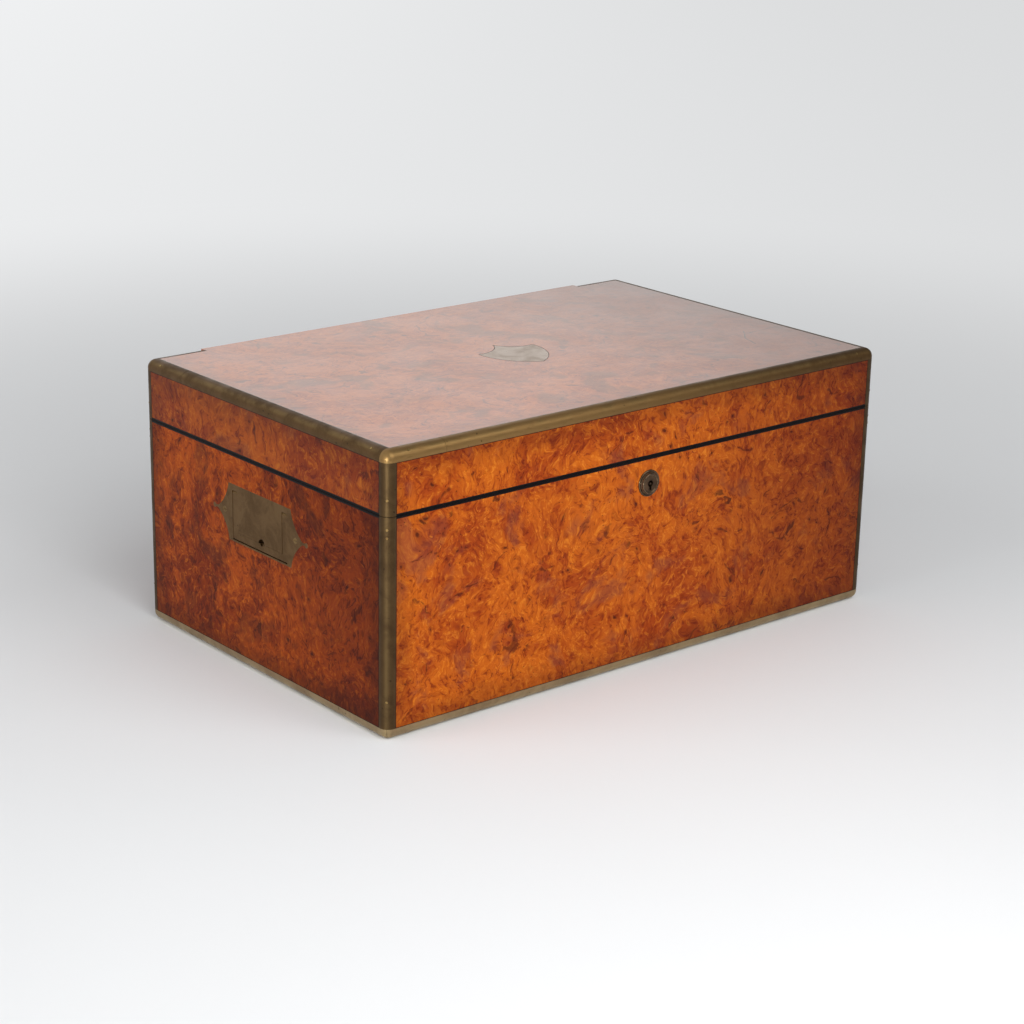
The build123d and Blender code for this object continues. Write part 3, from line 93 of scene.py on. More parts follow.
class Tree:
    """A node tree, with one short method for each kind of node that is used."""

    def __init__(self, tree):
        self.tree = tree

    def node(self, kind, inputs=(), **settings):
        """A new node; inputs are values or other nodes' sockets, in order or by name."""
        made = self.tree.nodes.new("ShaderNode" + kind)
        for key, value in settings.items():
            setattr(made, key, value)
        for key, value in inputs.items() if isinstance(inputs, dict) else enumerate(inputs):
            self.feed(made.inputs[key], value)
        return made

    def feed(self, socket, value):
        """Links or sets a socket; a colour of three numbers is in 0 to 255 screen steps."""
        if isinstance(value, bpy.types.NodeSocket):
            self.tree.links.new(value, socket)
        elif socket.type == "RGBA" and len(value) == 3:
            socket.default_value = colour(*value)
        else:
            socket.default_value = value

    def math(self, operation, *values):
        return self.node("Math", values, operation=operation).outputs[0]

    times = partialmethod(math, "MULTIPLY")
    less = partialmethod(math, "SUBTRACT")
    most = partialmethod(math, "MAXIMUM")
    least = partialmethod(math, "MINIMUM")
    size = partialmethod(math, "ABSOLUTE")
    over = partialmethod(math, "GREATER_THAN")
    under = partialmethod(math, "LESS_THAN")

    def vector(self, operation, *values):
        made = self.node("VectorMath", values, operation=operation)
        return made.outputs["Value" if operation in ("LENGTH", "DOT_PRODUCT") else "Vector"]

    def parts(self, vector):
        return self.node("SeparateXYZ", [vector]).outputs[:]

    def step(self, value, low, high, first=0.0, last=1.0):
        """A smooth step from first to last as value goes from low to high."""
        inputs = (value, low, high, first, last)
        return self.node("MapRange", inputs, interpolation_type="SMOOTHSTEP").outputs[0]

    def seen(self):
        """1 for a ray that sees a thing plainly, in gloss or through glass, and 0 for others."""
        path = self.node("LightPath").outputs
        mirrored = self.most(path["Is Glossy Ray"], path["Is Transmission Ray"])
        return self.most(mirrored, path["Is Camera Ray"])

    def end(self, output, share, first, second):
        """Ends the tree in a mix of two shaders."""
        mixed = self.node("MixShader", (share, first.outputs[0], second.outputs[0]))
        self.feed(self.tree.nodes[output].inputs["Surface"], mixed.outputs[0])


class Finish(Tree):
    """A material and its node tree."""

    def __init__(self, name):
        self.material = bpy.data.materials.new(name)
        self.material.use_nodes = True
        super().__init__(self.material.node_tree)
        self.shader = self.tree.nodes["Principled BSDF"]
        self.place = self.node("TexCoord").outputs["Object"]

    def set(self, **sockets):
        """Feeds the shader's own sockets; an underscore in a name stands for a space."""
        for key, value in sockets.items():
            self.feed(self.shader.inputs[key.replace("_", " ")], value)

    def noise(self, where, size, detail=2.0, roughness=0.5, bend=0.0, output="Fac"):
        inputs = {"Vector": where, "Scale": 1 / size, "Detail": detail}
        inputs |= {"Roughness": roughness, "Distortion": bend}
        return self.node("TexNoise", inputs).outputs[output]

    def stretch(self, where, scale=(1, 1, 1), turn=(0, 0, 0), move=(0, 0, 0)):
        return self.node("Mapping", (where, move, turn, scale)).outputs[0]

    def push(self, where, by, reach):
        """Moves a place by a colour's distance from mid grey, up to about half of reach."""
        centred = self.vector("SUBTRACT", by, (0.5, 0.5, 0.5))
        return self.vector("MULTIPLY_ADD", centred, (reach, reach, reach), where)

    def stray(self, where, size, reach):
        """Moves a place about by a noise of the given size."""
        return self.push(where, self.noise(where, size, output="Color"), reach)

    def sway(self, value, noise, reach):
        """Moves a value by a noise's distance from its middle, times reach."""
        return self.math("MULTIPLY_ADD", self.less(noise, 0.5), reach, value)

    def cells(self, where, size):
        """Distance from the nearest of scattered points, as a share of the size of a cell."""
        return self.node("TexVoronoi", {"Vector": where, "Scale": 1 / size}).outputs["Distance"]

    def specks(self, where, size, steps, patches, patch_steps):
        """Spots round scattered points, stepped by distance, in patches stepped from a noise."""
        spot = self.step(self.cells(where, size), *steps)
        return self.times(spot, self.step(patches, *patch_steps))

    def blend(self, share, first, second, mode="MIX"):
        """A colour between two others."""
        inputs = {0: share, 6: first, 7: second}
        return self.node("Mix", inputs, data_type="RGBA", blend_type=mode).outputs[2]

    def layers(self, body, *coats):
        """A colour with others laid over it in turn, each by its share, its strength and itself."""
        for share, strength, coat in coats:
            body = self.blend(self.times(share, strength), body, coat)
        return body

    def relief(self, height, depth, strength=1.0, over=None):
        """Normals of a surface raised by depth where height is 1."""
        inputs = {"Height": height, "Distance": depth, "Strength": strength}
        if over:
            inputs["Normal"] = over
        return self.node("Bump", inputs).outputs["Normal"]

    def segment_distance(self, first, last):
        """Distance from a straight scratch between two points, a little ragged."""
        along = Vector(last) - Vector(first)
        off = self.vector("SUBTRACT", self.stray(self.place, 0.006, 0.003), first)
        share = self.vector("DOT_PRODUCT", off, tuple(along / along.length_squared))
        share = self.least(self.most(share, 0.0), 1.0)
        walked = self.node("VectorMath", {0: tuple(along), 3: share}, operation="SCALE")
        return self.vector("LENGTH", self.vector("SUBTRACT", off, walked.outputs["Vector"]))


def burr_veneer(name, turn, move, tone, face):
    """French-polished burr: flame lines round small eyes, dark clouds, pepper and golden curls.

    The lines are where a noise, stretched along the grain and bent twice, crosses even levels.
    Old polish has gathered dirt along the brass round each face. Painted shade darkens each leaf
    towards one side, and the lid's ends.
    """
    f = Finish(name)
    here = f.stretch(f.place, turn=turn, move=move)
    drift = f.noise(here, 0.070, detail=1.0, output="Color")
    near = f.push(here, drift, 0.036)
    curl = f.noise(near, 0.014, output="Color")
    bent = f.push(near, curl, 0.015)
    twist = f.noise(bent, 0.0055, detail=1.0, output="Color")
    tight = f.push(bent, twist, 0.0050)
    eye_patches = f.noise(here, 0.034, detail=1.0), (0.38, 0.56)
    eye_core = f.specks(tight, 0.012, (0.15, 0.05), *eye_patches)
    eye_ring = f.specks(tight, 0.012, (0.40, 0.12), *eye_patches)
    level = f.noise(f.stretch(tight, (1.0, 1.0, 0.55)), 0.0135, detail=4.0, roughness=0.6)
    level = f.math("MULTIPLY_ADD", eye_ring, 0.13, level)
    fine = f.noise(f.stretch(tight, (1.0, 1.0, 0.5)), 0.0021, detail=3.0, roughness=0.7)
    wave = f.sway(f.math("SINE", f.times(level, 40.0)), fine, 4.2)
    blot = f.noise(f.push(bent, twist, 0.008), 0.013, detail=4.0, roughness=0.62)
    broad = f.noise(f.push(here, drift, 0.06), 0.060, detail=3.0, roughness=0.6)
    cloud = f.noise(f.push(here, drift, 0.05), 0.032, detail=3.0, roughness=0.62)
    flecks = f.push(here, curl, 0.01), 0.0030, (0.22, 0.06)
    glints = f.push(tight, twist, 0.003), 0.0044, (0.24, 0.06)
    inks = f.push(bent, twist, 0.012), 0.042, (0.105, 0.07)
    off_run = f.size(f.less(f.noise(f.push(near, curl, 0.010), 0.050, detail=1.0), 0.5))
    long_vein = f.times(f.step(off_run, 0.011, 0.003), f.step(blot, 0.50, 0.42))
    depth = f.math("MULTIPLY_ADD", broad, 0.5, f.times(blot, 0.5))
    body = f.layers(
        f.blend(f.step(depth, 0.40, 0.58), tone["deep"], tone["mid"]),
        (f.step(wave, 0.45, 1.65), f.step(blot, 0.36, 0.60, 0.20, 0.70), tone["gold"]),
        (f.step(wave, -0.20, -1.45), f.step(blot, 0.62, 0.40, 0.30, 0.85), tone["vein"]),
        (f.step(cloud, 0.54, 0.68), tone["murk_share"], tone["murk"]),
        (eye_ring, 0.45, tone["vein"]),
        (eye_core, 0.85, tone["eye"]),
        (f.specks(*flecks, f.noise(here, 0.012, detail=1.0), (0.44, 0.58)), 0.75, tone["eye"]),
        (f.specks(*glints, f.noise(here, 0.018, detail=1.0), (0.46, 0.60)), 0.55, tone["gold"]),
        (long_vein, 0.6, tone["eye"]),
        (f.specks(*inks, f.noise(here, 0.05), (0.50, 0.56)), 0.7, tone["eye"]),
    )
    for first, last in tone["scratches"]:
        scratch = f.step(f.segment_distance(first, last), 0.0008, 0.0003)
        body = f.layers(body, (scratch, 0.92, (30, 16, 10)))
    # painted shade: each leaf darkens towards one side along its way (the right on the front and
    # top, the front on the ends), where less light falls
    across = f.vector("DOT_PRODUCT", f.place, tone["painted_shade_way"])
    painted_shade = f.times(f.step(f.sway(across, broad, 0.08), -0.02, 0.22), tone["painted_shade"])
    # painted shade on the lid's ends, which share the front's finish, so that they are as dark as
    # the case's shaded ends
    if face == "lid":
        at_end = f.over(f.size(f.parts(f.place)[0]), end_face_x)
        painted_shade = f.most(painted_shade, f.times(at_end, 0.44))
    border = border_distance(f, face)
    body = f.layers(
        # the painted shade multiplies the colour by a dull red-grey
        f.blend(painted_shade, body, (150, 120, 110), "MULTIPLY"),
        (f.step(f.sway(border, cloud, 0.03), 0.020, 0.0), tone["dirt"], tone["eye"]),
        (f.step(border, 0.0007, 0.0003), 0.92, (24, 14, 8)),
    )
    polish = f.noise(f.place, 0.045, detail=4.0, roughness=0.65)
    ripple = f.noise(f.place, 0.022)
    f.set(Base_Color=body, Roughness=f.step(polish, 0.3, 0.7, 0.30, 0.42), **tone["shine"])
    f.set(Sheen_Roughness=0.35, Sheen_Tint=(255, 226, 204))
    f.set(Coat_Normal=f.relief(ripple, 0.00022, 0.5), Normal=f.relief(wave, 0.00003, 0.35))
    return f.material


def border_distance(f, face):
    """Distance in from the brass round a face: one of "case", "lid" and "top".

    The lid's back edge is bare wood, so no distance is taken from it.
    """
    x, y, z = f.parts(f.place)
    in_x = f.less(brass_in_x, f.size(x))
    if face == "top":
        return f.least(in_x, f.math("ADD", y, brass_in_y))
    sideways = f.most(in_x, f.less(brass_in_y, f.size(y)))
    if face == "lid":
        bare = f.over(y, brass_in_y)
        return f.least(sideways, f.math("ADD", bare, f.less(brass_under_top, z)))
    return f.least(sideways, f.less(z, brass_over_foot))


def ebony_finish():
    """Black polished lipping, with faint upright pores."""
    f = Finish("ebony")
    pore = f.noise(f.stretch(f.place, (1, 1, 0.2)), 0.0012, detail=3.0, roughness=0.7)
    f.set(Base_Color=f.blend(f.step(pore, 0.45, 0.75), (7, 5, 5), (17, 13, 11)))
    f.set(Roughness=f.step(pore, 0.3, 0.7, 0.30, 0.45), Specular_IOR_Level=0.1)
    return f.material


def edge_wear(f):
    """1 on the rounded edges, where hands and cloths have rubbed, and 0 on the flats."""
    normal = f.node("NewGeometry").outputs["Normal"]
    x, y, z = f.parts(f.vector("ABSOLUTE", normal))
    return f.step(f.most(x, f.most(y, z)), 0.97, 0.76)


def brass_finish(name, clean, tarnish, spot, dull, bright_edges, rubbing_and_highlight=None):
    """Brass with tarnish in clouds, small dark spots, fine scratches and rubbed edges.

    A lighter colour shows along the front, most of all at its left: partly rubbing where the lid is
    opened, partly a painted highlight where the front is lit.
    """
    f = Finish(name)
    cloud = f.noise(f.place, 0.018, detail=4.0, roughness=0.65, bend=0.4)
    scratch = f.noise(f.stretch(f.place, (0.15, 0.15, 1.0)), 0.0011, detail=3.0)
    pits = f.stray(f.place, 0.004, 0.004), 0.0052, (0.16, 0.07)
    pit = f.specks(*pits, f.noise(f.place, 0.02), (0.48, 0.60))
    body = f.blend(f.step(cloud, 0.35, 0.65), clean, tarnish)
    if rubbing_and_highlight:
        # lighter towards the front's left: partly rubbing, partly painted highlight
        x, y, _ = f.parts(f.place)
        body = f.layers(body, (f.step(x, 0.20, -0.14), f.under(y, -brass_in_y), rubbing_and_highlight))
    worn = f.times(f.times(edge_wear(f), bright_edges), f.step(cloud, 0.70, 0.35))
    body = f.layers(
        body,
        (f.step(scratch, 0.55, 0.72), 0.25, clean),
        (pit, 0.7, spot),
        (worn, 1.0, f.blend(0.5, clean, (190, 165, 105))),
    )
    rough = f.step(cloud, 0.3, 0.7, dull - 0.10, dull + 0.10)
    dent = f.relief(f.noise(f.place, 0.010), 0.00025, 0.35)
    f.set(Base_Color=body, Metallic=0.9, Roughness=f.math("MULTIPLY_ADD", worn, -0.14, rough))
    f.set(Normal=f.relief(scratch, 0.00003, 0.4, dent))
    return f.material


def mahogany_finish(name, crosswise=()):
    """Straight-grained mahogany under an old satin polish.

    The grain runs along X, but along Y in the spans that crosswise lists: from one distance
    to another each side of the middle, as far out in Y as the third number.
    """
    f = Finish(name)
    here = f.place
    if crosswise:
        x, y, z = f.parts(f.place)
        share = 0.0
        for first, last, reach in crosswise:
            inside = f.times(f.over(f.size(x), first), f.under(f.size(x), last))
            share = f.most(share, f.times(inside, f.under(f.size(y), reach)))
        swapped = f.node("CombineXYZ", (y, x, z)).outputs[0]
        here = f.node("Mix", {0: share, 4: f.place, 5: swapped}, data_type="VECTOR").outputs[1]
    wander = f.stray(here, 0.09, 0.02)
    stripe = f.noise(f.stretch(wander, (0.06, 1.0, 1.0)), 0.006, detail=3.0, roughness=0.6)
    pore = f.noise(f.stretch(wander, (0.05, 1.0, 1.0)), 0.0008)
    body = f.blend(f.step(stripe, 0.35, 0.68), (82, 34, 18), (128, 62, 34))
    body = f.layers(body, (f.step(pore, 0.58, 0.70), 0.5, (45, 18, 10)))
    f.set(Base_Color=body, Roughness=f.step(pore, 0.3, 0.7, 0.38, 0.52), Specular_IOR_Level=0.35)
    f.set(Normal=f.relief(pore, 0.00006, 0.4), Coat_Weight=0.25, Coat_Roughness=0.25)
    return f.material


def floor_finish(tone):
    """Pale seamless paper, whose far reaches show one even tone.

    Seen plainly, in gloss or through glass, it goes over from lit paper to a glow with
    the distance from the object, and it keeps the object's shadow. Nearer than the far
    reaches, that glow is painted light: brighter at the back left and dimmer at the front right.
    """
    f = Finish("studio_paper")
    tones = [(*[part * share for part in tone[:3]], 1.0) for share in (0.97, 1.13, 0.91)]
    speckled, bright, dim = tones
    f.set(Base_Color=f.blend(f.noise(f.place, 0.35, detail=3.0), tone, speckled))
    f.set(Roughness=0.9, Specular_IOR_Level=0.1)
    x, y, _ = f.parts(f.place)
    out = f.vector("LENGTH", f.node("CombineXYZ", (x, y)).outputs[0])
    sideways = f.less(f.times(x, 0.765), f.times(y, 0.643))
    # painted light: the glow is brighter at the back left and dimmer at the front right, until it
    # evens out far off
    even = f.blend(f.step(sideways, -1.6, 1.2), bright, dim)
    even = f.blend(f.step(out, 5.0, 20.0), even, tone)
    glow = f.node("Emission", (even, 1.0))
    f.end("Material Output", f.times(f.step(out, 0.35, 1.5), f.seen()), f.shader, glow)
    return f.material


def velvet_finish():
    """Ruby velvet: pile that catches the light at its edges, crushed in soft patches."""
    f = Finish("ruby_velvet")
    crush = f.noise(f.place, 0.035, detail=3.0, bend=0.8)
    nap = f.noise(f.place, 0.0009, detail=3.0, roughness=0.7)
    body = f.blend(f.step(crush, 0.35, 0.68), (86, 16, 34), (122, 26, 48))
    body = f.layers(body, (f.step(nap, 0.5, 0.7), 0.35, (150, 48, 68)))
    f.set(Base_Color=body, Roughness=0.92, Specular_IOR_Level=0.1)
    f.set(Sheen_Weight=0.55, Sheen_Roughness=0.4, Sheen_Tint=(232, 150, 160))
    f.set(Normal=f.relief(nap, 0.0004, 0.7, f.relief(crush, 0.0012, 0.4)))
    return f.material


def leather_finish(middle_y, lines):
    """Ruby goatskin with a fine grain and gilt lines.

    Each line follows a rectangle round the mirror's middle, given by its half sizes and the
    line's own half width.
    """
    f = Finish("gilt_leather")
    pebble = f.cells(f.stray(f.place, 0.003, 0.001), 0.0011)
    worn = f.noise(f.place, 0.03, detail=4.0, roughness=0.65)
    x, y, _ = f.parts(f.place)
    from_x, from_y = f.size(x), f.size(f.less(y, middle_y))
    gilt = 0.0
    for half_x, half_y, half_line in lines:
        off = f.size(f.most(f.less(from_x, half_x), f.less(from_y, half_y)))
        gilt = f.most(gilt, f.step(off, half_line * 1.3, half_line * 0.7))
    gilt = f.times(gilt, f.step(f.noise(f.place, 0.006, detail=3.0), 0.30, 0.45))
    body = f.layers(
        f.blend(f.step(worn, 0.35, 0.7), (92, 22, 30), (122, 38, 42)),
        (f.step(pebble, 0.55, 0.15), 0.25, (66, 14, 20)),
        (gilt, 1.0, (206, 164, 88)),
    )
    f.set(Base_Color=body, Metallic=f.times(gilt, 0.9), Specular_IOR_Level=0.4)
    f.set(Roughness=f.step(gilt, 0.0, 1.0, 0.48, 0.28))
    f.set(Normal=f.relief(pebble, -0.00012, 0.5, f.relief(gilt, -0.0002, 0.6)))
    return f.material


def looking_glass_finish():
    """Silvered plate with foxing creeping in from its edges."""
    f = Finish("looking_glass")
    x, y, _ = f.parts(f.vector("ABSOLUTE", f.place))
    edge = f.least(f.less(0.1518, x), f.less(0.0900, y))
    blot = f.noise(f.place, 0.012, detail=5.0, roughness=0.7)
    near_edge = f.step(edge, 0.012, 0.0, 0.0, 0.16)
    foxing = f.step(f.math("ADD", blot, near_edge), 0.68, 0.80, 0.0, 0.75)
    f.set(Base_Color=f.blend(foxing, (224, 229, 228), (120, 104, 84)), Metallic=1.0)
    f.set(Roughness=f.step(foxing, 0.0, 1.0, 0.02, 0.35))
    return f.material


def cut_glass_finish():
    """Clear lead glass, with the faintest bloom left by old scents."""
    f = Finish("cut_glass")
    bloom = f.noise(f.place, 0.02, detail=4.0)
    f.set(Base_Color=(240, 247, 245), Transmission_Weight=1.0, IOR=1.54)
    f.set(Roughness=f.step(bloom, 0.45, 0.75, 0.015, 0.09))
    return f.material


def plate_finish():
    """Silver plate with a warm tarnish, engine turned round the middle of each lid.

    The turning is a sine of the distance from the middle, which sixteen petals sway.
    """
    f = Finish("silver_plate")
    local = f.node("Attribute", attribute_name="lid_place").outputs["Vector"]
    x, y, _ = f.parts(local)
    ring = f.vector("LENGTH", local)
    petals = f.math("SINE", f.times(f.math("ARCTAN2", y, x), 16.0))
    swayed = f.math("MULTIPLY_ADD", petals, 0.0005, ring)
    cuts = f.math("SINE", f.times(swayed, 2 * math.pi / 0.0019))
    cuts = f.times(cuts, f.times(f.step(ring, 0.0125, 0.0118), f.step(ring, 0.0040, 0.0046)))
    tarnish = f.noise(f.place, 0.014, detail=4.0, roughness=0.65)
    cloth_marks = f.noise(f.stretch(f.place, (0.2, 1.0, 1.0)), 0.0012, detail=3.0)
    body = f.blend(f.step(tarnish, 0.40, 0.72), (224, 220, 211), (188, 176, 154))
    body = f.layers(body, (f.step(cuts, -0.2, -0.9), 0.45, (120, 108, 90)))
    f.set(Base_Color=body, Metallic=1.0, Roughness=f.step(tarnish, 0.35, 0.7, 0.16, 0.32))
    f.set(Normal=f.relief(cuts, 0.00010, 0.7, f.relief(cloth_marks, 0.00003, 0.4)))
    return f.material


# --- Surfaces: grids of points worked out with numpy -------------------------------------
def middle_and_halves(xs, ys, margin=0.0):
    """Middle of a rectangle between two pairs of coordinates, and its half sizes less a margin."""
    middle = np.array([sum(xs) / 2, sum(ys) / 2])
    return middle, (abs(xs[1] - xs[0]) / 2 - margin, abs(ys[1] - ys[0]) / 2 - margin)


def grid(points, around=False, over=False):
    """Faces of a surface through a grid of points, rows by columns by three.

    With around, the last column joins the first again; with over, the last row does.
    Seen from outside, the columns run anticlockwise about the direction of the rows.
    """
    rows, columns = points.shape[:2]
    row, column = np.mgrid[0 : rows - (not over), 0 : columns - (not around)]
    beyond, after = (row + 1) % rows, (column + 1) % columns
    ring = [row * columns + column, row * columns + after]
    ring += [beyond * columns + after, beyond * columns + column]
    return points.reshape(-1, 3), np.stack(ring, axis=-1).reshape(-1, 4).tolist()


def loft(loops):
    """Closed shell through stacked loops, with a flat face across the first and the last."""
    loops = np.asarray(loops)
    points, faces = grid(loops, around=True)
    rows, columns = loops.shape[:2]
    first = list(range(columns))[::-1]
    last = list(range((rows - 1) * columns, rows * columns))
    return points, [*faces, first, last]


def piece(name, shapes, finish, body=None, smooth=40.0, stands_for=()):
    """A mesh object made of several shapes; edges sharper than smooth, in degrees, stay crisp."""
    points, faces, start = [], [], 0
    for shape_points, shape_faces in shapes:
        points.append(shape_points)
        faces += [[start + corner for corner in face] for face in shape_faces]
        start += len(shape_points)
    mesh = bpy.data.meshes.new(name)
    mesh.from_pydata(np.concatenate(points), [], faces)
    mesh.validate()
    mesh.shade_smooth()
    mesh.set_sharp_from_angle(angle=math.radians(smooth))
    made = bpy.data.objects.new(name, mesh)
    bpy.context.scene.collection.objects.link(made)
    mesh.materials.append(finish)
    if body:
        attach(made, body)
    if stands_for:
        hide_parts(*stands_for)
    return made


def turned(profile, centre, axis, segments):
    """Points of a turned piece: each pair of the profile is a radius and a height on the axis."""
    radius, height = np.asarray(profile, float).T
    angle = np.linspace(0, 2 * math.pi, segments, endpoint=False)
    along = np.asarray(axis, float)
    side = np.cross(along, (0, 0, 1)) if abs(along[2]) < 0.5 else np.array([1.0, 0, 0])
    ring = np.cos(angle)[:, None] * side + np.sin(angle)[:, None] * np.cross(along, side)
    return np.asarray(centre) + radius[:, None, None] * ring + height[:, None, None] * along


def plan(half_x, half_y, radius, arc=7, side=2):
    """Points round a rectangle with round corners, anticlockwise, each with its share of a side.

    Two points to an arc make a cut-off corner. The share runs from 0 to 1 along each straight
    side and stays 0 on the corners.
    """
    angle = np.linspace(0, math.pi / 2, arc)
    arcs = []
    for quarter, sides in enumerate(((1, 1), (-1, 1), (-1, -1), (1, -1))):
        turn = angle + quarter * math.pi / 2
        middle = np.array(sides) * (half_x - radius, half_y - radius)
        arcs.append(middle + radius * np.stack([np.cos(turn), np.sin(turn)], -1))
    share = np.linspace(0, 1, side + 1)[1:-1]
    points = []
    for corner, following in zip(arcs, arcs[1:] + arcs[:1]):
        points += [corner, corner[-1] + share[:, None] * (following[0] - corner[-1])]
    return np.concatenate(points), np.tile([*np.zeros(arc), *share], 4)


def waved_plan(halves, width, side):
    """A cut-off rectangle, which points are on sides along X, and a wave along each side.

    The wave is the size of a sine with a whole number of humps, each about width wide.
    """
    around, share = plan(*halves, cut_corner, arc=2, side=side)
    on_x_side = np.abs(around[:, 1]) > halves[1] - 1e-6
    count = [max(3, round(2 * (half - cut_corner) / width)) for half in halves]
    return around, on_x_side, np.abs(np.sin(math.pi * np.where(on_x_side, *count) * share))


def raised(outline, height):
    """A plan set at a height, or at one height for each of its points."""
    return np.concatenate([outline, np.broadcast_to(height, len(outline))[:, None]], -1)


def pad(xs, ys, zs, radius, edge, crown=0.0, side=12):
    """A pad between three pairs of coordinates: rounded edge, and a top that crowns.

    The top rises above its edge by crown times one minus the square of the way out in X,
    and the same in Y. Its plan's sides draw in by a fifth of the edge between their corners.
    """
    middle, halves = middle_and_halves(xs, ys)
    low, high, least = min(zs), max(zs) - crown, min(halves)
    quarter = np.linspace(0, math.pi / 2, 5)
    draws = [*(edge * (1 - np.sin(quarter))), *(edge * (1 - np.cos(quarter)))]
    draws += [edge + share * (least - edge) for share in (0.15, 0.35, 0.6, 0.9)]
    heights = [*(low + edge * (1 - np.cos(quarter))), *(high - edge * (1 - np.sin(quarter)))]
    heights += [high] * 4
    crowns = [0.0] * len(quarter) + [crown] * (len(draws) - len(quarter))
    loops = []
    for draw, height, rise in zip(draws, heights, crowns):
        around, share = plan(*[half - draw for half in halves], max(radius - draw, tiny), side=side)
        around = around * (1 - 0.2 * edge / least * np.sin(math.pi * share))[:, None]
        height = height + rise * np.prod(1 - (around / halves) ** 2, axis=1)
        loops.append(raised(around + middle, height))
    return loft(loops)


def band(half_xs, half_ys, zs, radius):
    """A lining round four walls: outer and inner half sizes, with a rolled top edge."""
    low, high = zs
    thick, level = half_xs[0] - half_xs[1], (low + high) / 2
    roll = np.linspace(0, math.pi, 7)
    share_in = [0.0, 0.0, *((1 - np.cos(roll)) / 2), 1.0, 1.0]
    heights = [low, level, *(high - thick / 2 + thick / 2 * np.sin(roll)), level, low]
    loops = []
    for share, height in zip(share_in, heights):
        halves = [outer + share * (inner - outer) for outer, inner in (half_xs, half_ys)]
        loops.append(raised(plan(*halves, radius, side=30)[0], height))
    return grid(np.array(loops), around=True, over=True)


def arc_through(first, middle, last, count):
    """Points along the circle through three points of a plane, evenly by angle."""
    sides = np.array([middle, last]) - first
    squares = [middle @ middle - first @ first, last @ last - first @ first]
    centre = np.linalg.solve(2 * sides, squares)
    angles = np.unwrap([math.atan2(*(point - centre)[::-1]) for point in (first, middle, last)])
    share = np.linspace(angles[0], angles[2], count)
    return centre + np.linalg.norm(first - centre) * np.stack([np.cos(share), np.sin(share)], -1)


def inset(span, margin):
    """A pair of coordinates, in order, drawn in by a margin at both ends."""
    return (min(span) + margin, max(span) - margin)


def dress(finish, *nodes):
    """Gives carried-over nodes their finish."""
    for node in nodes:
        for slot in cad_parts[node].material_slots:
            slot.material = finish


# --- What a user can change ----------------------------------------------------------------
def power(name, description, default):
    return bpy.props.FloatProperty(
        name=name, description=description, default=default, min=0.0, unit="POWER"
    )


def tint(name, description, *steps):
    return bpy.props.FloatVectorProperty(
        name=name,
        description=description,
        default=colour(*steps),
        min=0.0,
        max=1.0,
        size=4,
        subtype="COLOR",
    )


class StageSettings(bpy.types.PropertyGroup):
    paper: tint("Paper", "Tone of the floor and the background", 228, 229, 230)
    key_power: power("Key lamp", "Power of the soft lamp at the front right", 38.0)
    near_power: power("Near lamp", "Power of the small soft lamp at the front left", 9.0)
    fill_power: power("Fill lamp", "Power of the soft lamp at the left", 20.0)
    flash_power: power("Flash", "Power of the small flash that gives glints on the brass", 14.0)
    dome: bpy.props.FloatProperty(
        name="Dome",
        description="Share of the background's brightness that lights matt surfaces",
        default=0.45,
        min=0.0,
        max=1.0,
        subtype="FACTOR",
    )


class VeneerSettings(bpy.types.PropertyGroup):
    mid: tint("Burr", "Main colour of the burr veneer", 178, 86, 14)
    deep: tint("Deep burr", "Darker parts of the figure", 144, 56, 8)


